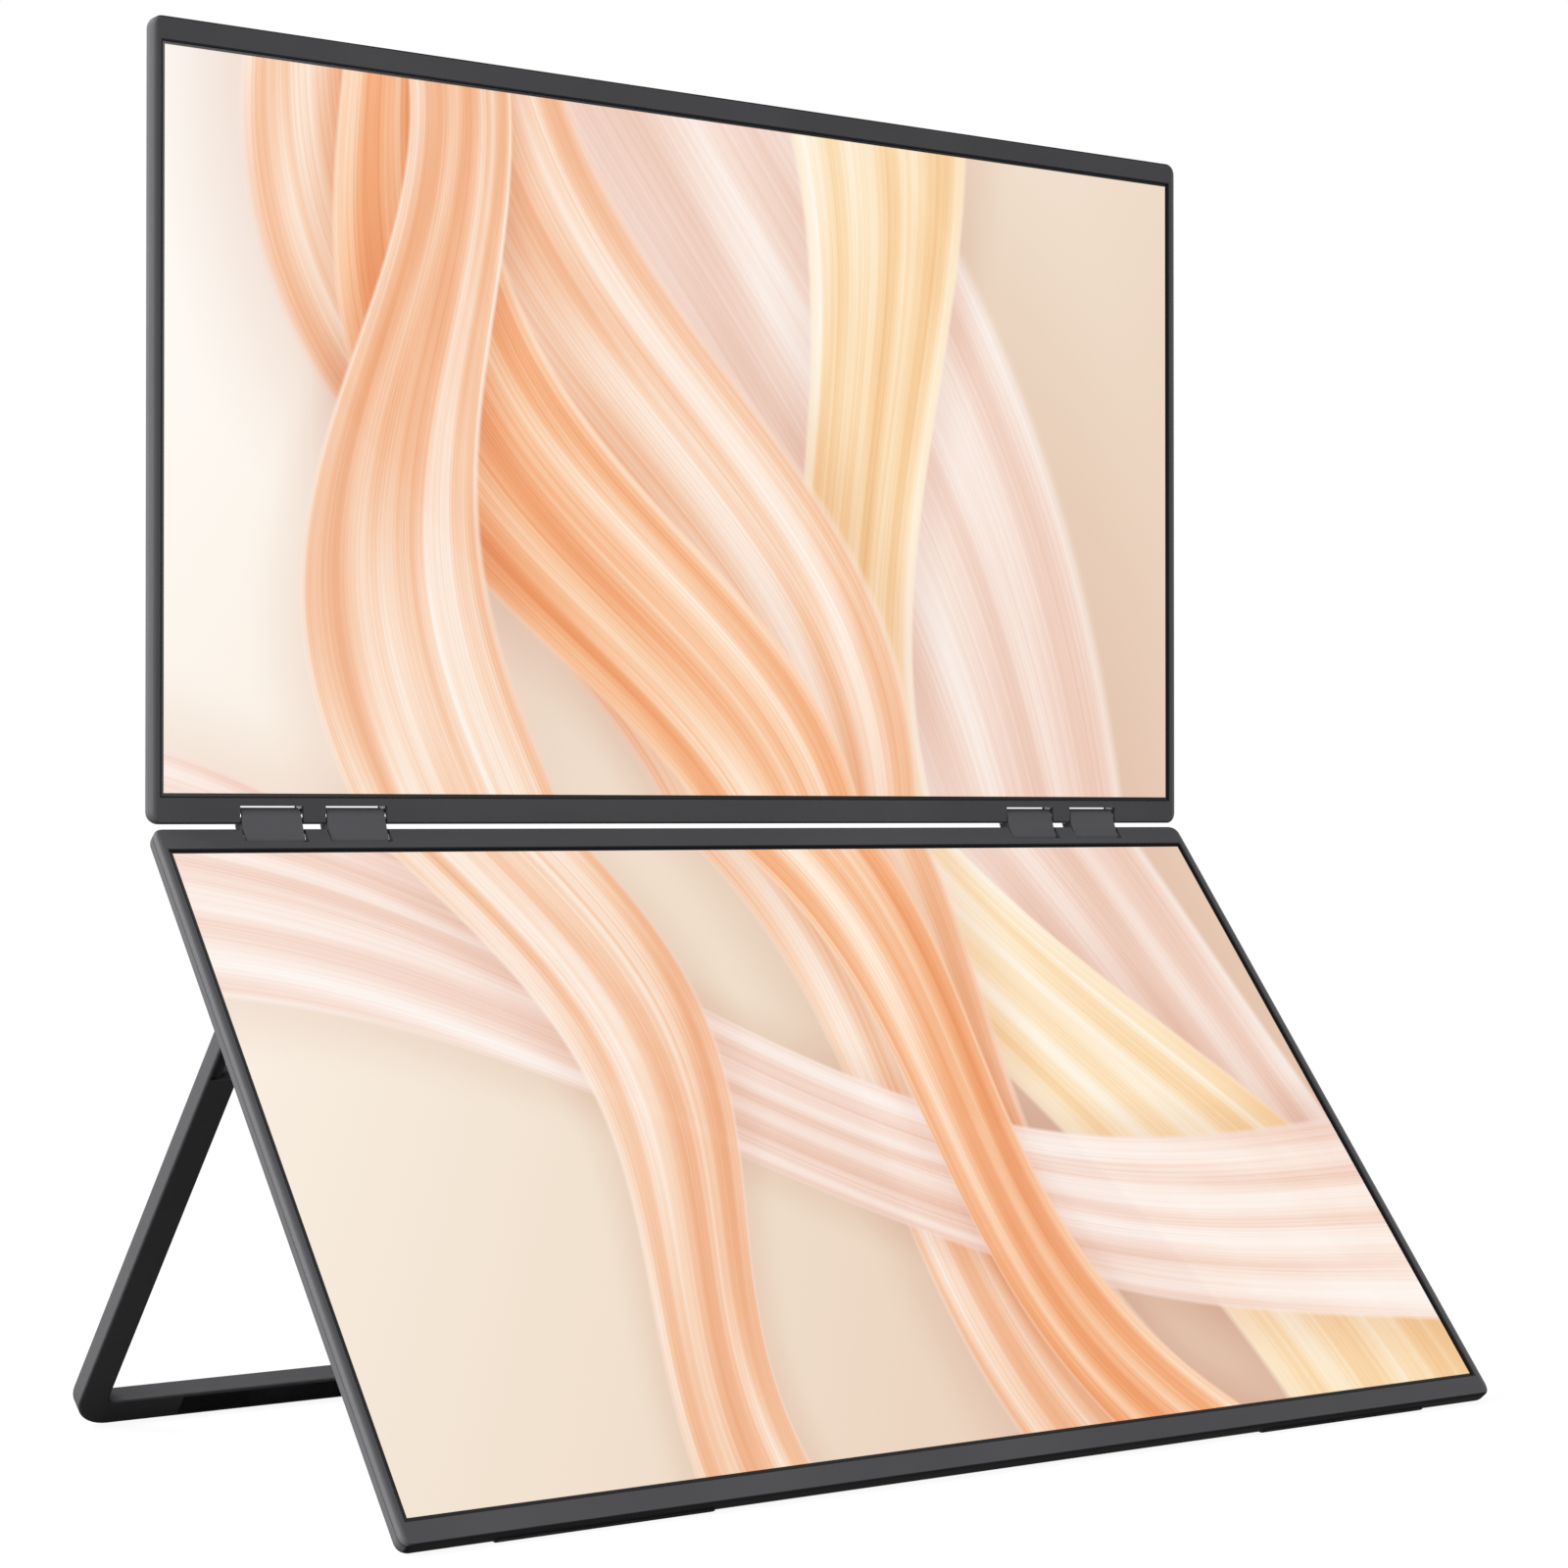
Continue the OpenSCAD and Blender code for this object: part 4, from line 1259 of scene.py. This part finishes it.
@dataclass(frozen=True)
class ScrewForm:
    """A pan-head screw with a cross recess.

    Attributes:
        head_radius: Radius of its head.
        head_height: Height of its head.
        crown: How far the head's face falls at its rim, as a share of the height.
        shank_radius: Radius of its shank.
        recess: Half the length of the recess's slots.
        slot: Half the width of a slot.
        recess_depth: Depth of the recess.
        soft: Half the width over which the recess's walls fall.
        rings: Number of rings over the head's face.
        turns: Number of points in a ring.
        pole: Radius of a closing ring, as a share of the ring's next to it.
    """

    head_radius: float
    head_height: float = 0.9 * MM
    crown: float = 0.35
    shank_radius: float = 1.0 * MM
    recess: float = 1.15 * MM
    slot: float = 0.28 * MM
    recess_depth: float = 0.5 * MM
    soft: float = 0.08 * MM
    rings: int = 22
    turns: int = 64
    pole: float = 0.02

    def _inside(self, value: np.ndarray, limit: float) -> np.ndarray:
        """1 where a value's size is under the limit, falling smoothly to 0 past it."""
        step = np.clip((limit + self.soft - np.abs(value)) / (2 * self.soft), 0, 1)
        return step * step * (3 - 2 * step)

    def grid(self, length: float) -> np.ndarray:
        """Points of the screw, ring by ring, with its head's seat at height 0.

        The face is a height over radius and angle: a crown that falls as the fourth power of
        the radius, less a cross whose walls are smooth steps. Rings of one height each then go
        down the head's side and the shank.

        Args:
            length: Length of the shank.

        Returns:
            An array of rings, points in a ring, and three coordinates.
        """
        angle = np.linspace(0, 2 * math.pi, self.turns, endpoint=False)
        radius = np.linspace(self.pole, 1, self.rings)[:, None] * self.head_radius
        x, y = radius * np.cos(angle), radius * np.sin(angle)
        height = self.head_height * (1 - self.crown * (radius / self.head_radius) ** 4)
        cross = np.maximum(
            self._inside(x, self.slot) * self._inside(y, self.recess),
            self._inside(y, self.slot) * self._inside(x, self.recess),
        )
        height = np.broadcast_to(height, x.shape) - cross * self.recess_depth
        below = (
            (self.head_radius, 0.0),
            (self.shank_radius, 0.0),
            (self.shank_radius, -length),
            (self.shank_radius * self.pole, -length),
        )
        rims = [
            np.stack((r * np.cos(angle), r * np.sin(angle), np.full_like(angle, z)), axis=-1)
            for r, z in below
        ]
        return np.concatenate((np.stack((x, y, height), axis=-1), np.stack(rims)))

    def faces(self, rings: int) -> list[list[int]]:
        """Faces between the rings, turned because the rings go down from the head."""
        return [face[::-1] for face in tube_faces(rings, self.turns)]


def screw_set(name: str, node: str, plate: PlateFrame, finish: Finish) -> bpy.types.Object:
    """Puts a recessed screw in place of each plain one of a node.

    Args:
        name: The new piece's name.
        node: The node with the plain screws.
        plate: Axes of the screen that they go into.
        finish: Their finish.

    Returns:
        The piece with all the screws.
    """
    boxes = island_boxes(node, plate)
    form = ScrewForm(float(np.ptp(boxes[0, :, 0]) / 2))
    turn = -1 if plate.left_handed else 1
    points: list[np.ndarray] = []
    faces: list[list[int]] = []
    for low, high in boxes:
        seat = (*((low + high) / 2)[:2], high[2] - form.head_height)
        grid = form.grid(high[2] - low[2] - form.head_height)
        placed = plate.place(*np.moveaxis(grid + seat, -1, 0))
        start = len(points) * placed[..., 0].size
        faces += [[start + corner for corner in face[::turn]] for face in form.faces(len(grid))]
        points.append(placed.reshape(-1, 3))
    return new_piece(name, np.concatenate(points), faces, finish)


@dataclass(frozen=True)
class RibbedStrip:
    """A rubber strip with ribs along its outer face.

    Attributes:
        ribs: Number of ribs across it.
        relief: Height of the ribs.
        steps: Points over one rib.
        rings: Number of sections along it.
    """

    ribs: int = 8
    relief: float = 0.2 * MM
    steps: int = 10
    rings: int = 24

    def section(self, width: float, thickness: float) -> np.ndarray:
        """Outline, anticlockwise: a raised cosine for each rib, upright sides and a flat base.

        Args:
            width: Width of the strip.
            thickness: Its thickness at the ribs' tops.

        Returns:
            Points of two numbers: across from the middle, and above the base.
        """
        share = np.linspace(0.5, -0.5, self.ribs * self.steps + 1)
        groove = self.relief * (0.5 + 0.5 * np.cos(2 * math.pi * self.ribs * share))
        ribs = np.stack((share * width, thickness - groove), axis=-1)
        base = np.array(((-width / 2, 0.0), (width / 2, 0.0)))
        return np.concatenate((ribs, base))

    def build(self, name: str, node: str, finish: Finish) -> bpy.types.Object:
        """Sweeps the section along X in the place of a plain strip.

        The four corners of the plain strip's section give the axes: they spread most along its
        width and least along its thickness, and its outer face looks down.

        Args:
            name: The new piece's name.
            node: The node with the plain strip.
            finish: Its finish.

        Returns:
            The ribbed strip.
        """
        points = node_points(node)
        places = np.round(points[:, 1:] / ONE_PLACE)
        _, first = np.unique(places, axis=0, return_index=True)
        corners = points[first] * (0.0, 1.0, 1.0)
        middle = corners.mean(axis=0)
        out = np.linalg.svd(corners - middle)[2][1]
        out = out if out[2] < 0 else -out
        wide = np.cross(out, ACROSS)
        thickness = np.ptp(corners @ out)
        outline = self.section(np.ptp(corners @ wide), thickness)
        run = np.linspace(points[:, 0].min(), points[:, 0].max(), self.rings)
        placed = (
            middle
            + run[:, None, None] * ACROSS
            + outline[:, 0, None] * wide
            + (outline[:, 1, None] - thickness / 2) * out
        )
        return new_piece(name, placed, tube_faces(self.rings, len(outline)), finish)


# ---------------------------------------------------------------- sub-assemblies


def dress_nodes(finishes: dict[str, Finish]) -> None:
    """Gives nodes of the frame their finishes.

    Args:
        finishes: Each node's finish, by the node's name.
    """
    for node, finish in finishes.items():
        slots = frame["nodes"][node].data.materials
        slots.clear()
        slots.append(finish.material())
        LOG.info("%s: %s", node, finish.name)


class Screen(Enum):
    """The two screens, by the first word of their nodes' names."""

    LOWER = "lower"
    UPPER = "upper"


@dataclass
class ScreenUnit:
    """A screen: casing, front frame, panel with its picture, driver board and hinge brackets.

    Attributes:
        which: Which of the two it is.
        plate: Its axes.
        margin: Width of the panel's rim that the picture leaves free.
        lift: Height of the picture above the panel.
        columns: Points across the picture's grid.
        rows: Points along it.
        fold_gap: Distance between the two pictures, as one design, in shares of its width.
        side: How far across from the opening's corner a point still lies on its side.
        casing: Colour of the casing and of the rails.
        rim: Colour of the front frame.
    """

    which: Screen
    plate: PlateFrame
    margin: float = 2.0 * MM
    lift: float = 0.02 * MM
    columns: int = 49
    rows: int = 33
    fold_gap: float = 0.05
    side: float = 0.3 * MM
    casing: Colour = field(default_factory=lambda: tint("#5d5d5f"))
    rim: Colour = field(default_factory=lambda: tint("#404042"))

    def node(self, part: str) -> str:
        """Full name of one of its nodes."""
        return f"{self.which.value}_{part}"

    def opening(self) -> tuple[float, float, float]:
        """Opening of the front frame.

        In the far half of the frame, the opening's corner is the point with the least sum of
        its distances across and along. In the near half, it is the furthest point that lies as
        far across.

        Returns:
            Half its width, and where along it begins and ends.
        """
        measured = self.plate.measure(node_points(self.node("bezel")))
        across, along = np.abs(measured[:, 0]), measured[:, 1]
        middle = along.max() / 2
        corner = np.argmin(np.where(along > middle, across + along, np.inf))
        half = across[corner]
        near = along[(along < middle) & (np.abs(across - half) < self.side)]
        return float(half), float(near.max()), float(along[corner])

    def picture(self) -> bpy.types.Object:
        """Lays the lit picture over the panel: a flat grid over across and along.

        Returns:
            The picture. Its UV map counts in widths of the picture, from the lower left corner
            of the upper screen, so that one design runs over both screens.
        """
        ((low, high),) = island_boxes(self.node("display"), self.plate)
        across = np.linspace(low[0] + self.margin, high[0] - self.margin, self.columns)
        along = np.linspace(low[1] + self.margin, high[1] - self.margin, self.rows)
        x, y = np.meshgrid(across, along)
        width = across[-1] - across[0]
        up = (y - along[0]) / width
        if self.which is Screen.LOWER:
            up = -self.fold_gap - up
        faces = grid_faces(self.rows, self.columns)
        made = new_piece(
            self.node("picture"),
            self.plate.place(x, y, np.full_like(x, low[2] - self.lift)),
            faces if self.plate.left_handed else faces[:, ::-1],
            SilkPicture("silk_picture"),
            np.stack(((x - across[0]) / width, up), axis=-1),
        )
        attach(made, self.node("screen"))
        return made

    def dress(self) -> None:
        """Gives each of its nodes its finish."""
        name = self.which.value
        _, (half_width, length, rim_depth) = island_boxes(self.node("bezel"), self.plate)[0]
        seam = Seam(self.plate, float(rim_depth))
        outline = Outline(self.plate, float(half_width), float(length), *self.opening())
        finishes = {
            "back_cover": SatinMetal(
                f"{name}_casing_metal", self.casing, 0.0, 0.5, 0.01, seam, outline
            ),
            "bezel": FrontFrame(f"{name}_frame_plastic", outline, seam, self.rim, self.casing),
            "display": PanelGlass("panel_glass"),
            "backlight": LightGuide("light_guide"),
            "driver_board": SolderMask(f"{name}_driver_board_mask", self.plate),
            "flex_tails": AmberFilm("amber_film"),
            "hinge_brackets": STAMPED_STEEL,
            "hinge_shafts": GROUND_STEEL,
            "bracket_screws": BRIGHT_SCREW_STEEL,
        }
        dress_nodes({self.node(part): finish for part, finish in finishes.items()})


@dataclass
class HingeSet:
    """Links and washers of the two double-axis hinges.

    Attributes:
        link_colour: The links' colour.
    """

    link_colour: Colour = field(default_factory=lambda: tint("#454548"))

    def dress(self) -> None:
        """Satin paint on the links, bright steel on the washers."""
        paint = SatinMetal("link_paint", self.link_colour, 0.0, 0.45, 0.06)
        dress_nodes({"left_links": paint, "right_links": paint, "friction_washers": WASHER_STEEL})


@dataclass
class BackHousing:
    """The housing behind the lower screen: boards, ports, speakers, buttons and feet.

    Attributes:
        plate: The lower screen's axes.
        chip_height: Height of the chips' tops that is black.
        tongue_inset: How far the ports' tongues begin behind their mouths.
    """

    plate: PlateFrame
    chip_height: float = 1.0 * MM
    tongue_inset: float = 0.6 * MM

    def dress(self) -> None:
        """Gives each of its nodes its finish."""
        board_back = island_boxes("main_board", self.plate)[:, 1, 2].max()
        mask = SolderMask("main_board_mask", self.plate, float(board_back - self.chip_height))
        cloth = WovenCloth("speaker_cloth", self.plate)
        shells = island_boxes("usb_c_ports", self.plate)
        tongue = min(shells, key=lambda box: box[1, 2] - box[0, 2])[:, 2]
        mouth = float(shells[:, 1, 0].max() - self.tongue_inset)
        metal = PortMetal(
            "port_metal", self.plate, float(tongue.mean()), float(np.ptp(tongue)), mouth
        )
        dress_nodes(
            {
                "back_housing": HOUSING_PLASTIC,
                "main_board": mask,
                "key_board": mask,
                "left_speaker": cloth,
                "right_speaker": cloth,
                "usb_c_ports": metal,
                "video_port": metal,
                "audio_jack": JACK_PLASTIC,
                "button_switches": SWITCH_PLASTIC,
                "power_button": BUTTON_PLASTIC,
                "menu_rocker": BUTTON_PLASTIC,
                "rubber_feet": FOOT_RUBBER,
            }
        )

    def screws(self) -> bpy.types.Object:
        """Puts recessed screws in place of the plain ones.

        Returns:
            The piece with all the screws.
        """
        made = screw_set("recessed_housing_screws", "housing_screws", self.plate, DARK_SCREW_STEEL)
        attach(made, "lower_screen")
        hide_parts("housing_screws")
        return made


@dataclass
class Kickstand:
    """The flat-bar stand, its rubber pad, and its brackets on the lower screen.

    Attributes:
        plate: The lower screen's axes.
        bar: The bar's colour.
        bracket: The brackets' colour.
    """

    plate: PlateFrame
    bar: Colour = field(default_factory=lambda: tint("#555557"))
    bracket: Colour = field(default_factory=lambda: tint("#3a3a3c"))

    def dress(self) -> None:
        """Gives each of its nodes its finish."""
        dress_nodes(
            {
                "stand_frame": SatinMetal("stand_metal", self.bar, 0.0, 0.5, 0.0),
                "foot_pad": FOOT_RUBBER,
                "stand_brackets": SatinMetal("bracket_paint", self.bracket, 0.1, 0.45, 0.3),
                "stand_pins": GROUND_STEEL,
                "stand_washers": WASHER_STEEL,
            }
        )

    def screws(self) -> bpy.types.Object:
        """Puts recessed screws in place of the plain ones.

        Returns:
            The piece with all the screws.
        """
        plain = "stand_bracket_screws"
        made = screw_set("recessed_bracket_screws", plain, self.plate, BRIGHT_SCREW_STEEL)
        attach(made, "lower_screen")
        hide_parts("stand_bracket_screws")
        return made

    def pad(self) -> bpy.types.Object:
        """Puts a ribbed strip in place of the plain one.

        Returns:
            The ribbed strip.
        """
        made = RibbedStrip().build("ribbed_foot_pad", "foot_pad", FOOT_RUBBER)
        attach(made, "kickstand")
        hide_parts("foot_pad")
        return made


# ---------------------------------------------------------------- studio


@dataclass(frozen=True)
class Softbox:
    """A large soft lamp.

    Attributes:
        name: Its name.
        place: Where it stands.
        aim: The point that it faces.
        width: Its width.
        height: Its height.
        power: Its power in watts.
    """

    name: str
    place: tuple[float, float, float]
    aim: tuple[float, float, float]
    width: float
    height: float
    power: float

    def build(self) -> bpy.types.Object:
        """Sets up the lamp.

        Returns:
            The lamp, linked into the scene.
        """
        light = bpy.data.lights.new(self.name, "AREA")
        light.shape = "RECTANGLE"
        light.size, light.size_y = self.width, self.height
        light.energy = self.power
        made = bpy.data.objects.new(self.name, light)
        made.location = self.place
        facing = Vector(self.aim) - Vector(self.place)
        made.rotation_euler = facing.to_track_quat("-Z", "Y").to_euler()
        bpy.context.scene.collection.objects.link(made)
        return made


@dataclass(frozen=True)
class PaleFloor(Finish):
    """The studio floor: white as it is seen, with a faint shadow near the object.

    Attributes:
        veil: How much white lies over the shadow next to the object.
        bounce: Share of light that the floor throws back on the object.
        clear_from: Distance at which the shadow starts to fade.
        clear_to: Distance at which it is gone.
        fibre: Size of the paper's patches.
        papers: Its darkest and lightest colour.
    """

    veil: float = 0.92
    bounce: float = 0.08
    clear_from: float = 0.3
    clear_to: float = 0.9
    fibre: float = 4 * MM
    papers: tuple[Colour, Colour] = ((0.86, 0.86, 0.86), (0.9, 0.9, 0.9))

    def build(self, bench: NodeBench) -> None:
        """Paint that takes the shadow, under a white that grows with the distance.

        Args:
            bench: The material's node tree.
        """
        paper = bench.blend(bench.patches(self.fibre, 3.0), *self.papers)
        paint = bench.signal("ShaderNodeBsdfDiffuse", None, {"Color": paper})
        dull = bench.signal("ShaderNodeBsdfDiffuse", None, {"Color": shade(WHITE, self.bounce)})
        white = bench.signal("ShaderNodeEmission", None, {"Color": WHITE, "Strength": 1.0})
        length = {"operation": "LENGTH"}
        reach = bench.signal("ShaderNodeVectorMath", length, {0: bench.points}, "Value")
        veil = self.veil + (1 - self.veil) * reach.rise(self.clear_from, self.clear_to)
        seen = bench.mix(veil, paint, white)
        bench.finish(bench.mix(bench.seen_directly(), dull, seen))


@dataclass
class Studio:
    """Floor, lamps and the light of the room.

    Attributes:
        floor_size: Side of the floor.
        floor_points: Points along each side of its grid.
        room: Strength of the room's light.
        lamps: The lamps.
    """

    floor_size: float = 12.0
    floor_points: int = 13
    room: float = 0.3
    lamps: tuple[Softbox, ...] = (
        Softbox("left_softbox", (-2.14, -0.69, 0.61), (0.0, 0.0, 0.15), 1.4, 1.6, 38.0),
        Softbox("rear_softbox", (-1.6, 0.9, 1.5), (0.0, 0.0, 0.15), 1.2, 1.2, 80.0),
        Softbox("front_softbox", (0.4, -2.6, 0.9), (0.0, 0.0, 0.15), 1.4, 1.4, 58.0),
        Softbox("top_softbox", (0.0, 0.2, 2.2), (0.0, 0.0, 0.0), 1.8, 1.8, 25.0),
    )

    def floor(self) -> bpy.types.Object:
        """Lays the floor: a flat grid at height 0.

        Returns:
            The floor.
        """
        place = np.linspace(-0.5, 0.5, self.floor_points) * self.floor_size
        x, y = np.meshgrid(place, place)
        points = np.stack((x, y, np.zeros_like(x)), axis=-1)
        faces = grid_faces(self.floor_points, self.floor_points)
        made = new_piece("studio_floor", points, faces, PaleFloor("studio_floor_paint"))
        return made

    def world(self) -> None:
        """White as it is seen, and an even dimmer light on the object."""
        world = bpy.data.worlds.new("room")
        world.use_nodes = True
        bpy.context.scene.world = world
        bench = NodeBench(world.node_tree)
        soft, white = (
            bench.signal("ShaderNodeBackground", None, {"Color": WHITE, "Strength": strength})
            for strength in (self.room, 1.0)
        )
        bench.finish(bench.mix(bench.seen_directly(), soft, white), "World")

    def build(self) -> None:
        """Sets up the whole studio."""
        self.floor()
        self.world()
        for lamp in self.lamps:
            lamp.build()


@dataclass(frozen=True)
class CameraStand:
    """The camera, placed from the middle of the upper screen's lower front edge.

    Attributes:
        offset: Its place from there.
        yaw: Angle of its view from +Y towards +X, in degrees.
        pitch: Angle of its view above the horizon, in degrees.
        lens: Focal length in millimetres.
        sensor: Width of the sensor in millimetres.
        clip: Nearest and furthest distance that it sees.
    """

    offset: tuple[float, float, float] = (-0.54648, -0.8037, 0.00217)
    yaw: float = 35.351
    pitch: float = 0.542
    lens: float = 77.712
    sensor: float = 36.0
    clip: tuple[float, float] = (0.05, 50.0)

    def build(self, plate: PlateFrame) -> bpy.types.Object:
        """Sets up the camera.

        Args:
            plate: The upper screen's axes.

        Returns:
            The camera, which is the scene's own.
        """
        camera = bpy.data.cameras.new("camera")
        camera.lens, camera.sensor_width = self.lens, self.sensor
        camera.clip_start, camera.clip_end = self.clip
        made = bpy.data.objects.new("camera", camera)
        yaw, pitch = math.radians(self.yaw), math.radians(self.pitch)
        turn = Matrix.Rotation(-yaw, 4, "Z") @ Matrix.Rotation(math.pi / 2 + pitch, 4, "X")
        made.matrix_world = Matrix.Translation(Vector(plate.origin) + Vector(self.offset)) @ turn
        bpy.context.scene.collection.objects.link(made)
        bpy.context.scene.camera = made
        return made


def main() -> None:
    """Dresses the frame, adds the new pieces, and sets up the studio and the camera."""
    logging.basicConfig(level=logging.INFO, format="%(name)s %(message)s")
    upper = upper_plate()
    lower = lower_plate(upper)
    CameraStand().build(upper)
    for which, plate in ((Screen.LOWER, lower), (Screen.UPPER, upper)):
        unit = ScreenUnit(which, plate)
        unit.dress()
        unit.picture()
    HingeSet().dress()
    housing = BackHousing(lower)
    housing.dress()
    housing.screws()
    stand = Kickstand(lower)
    stand.dress()
    stand.screws()
    stand.pad()
    Studio().build()
    bpy.context.scene.view_settings.view_transform = "Standard"


if __name__ == "__main__":
    main()
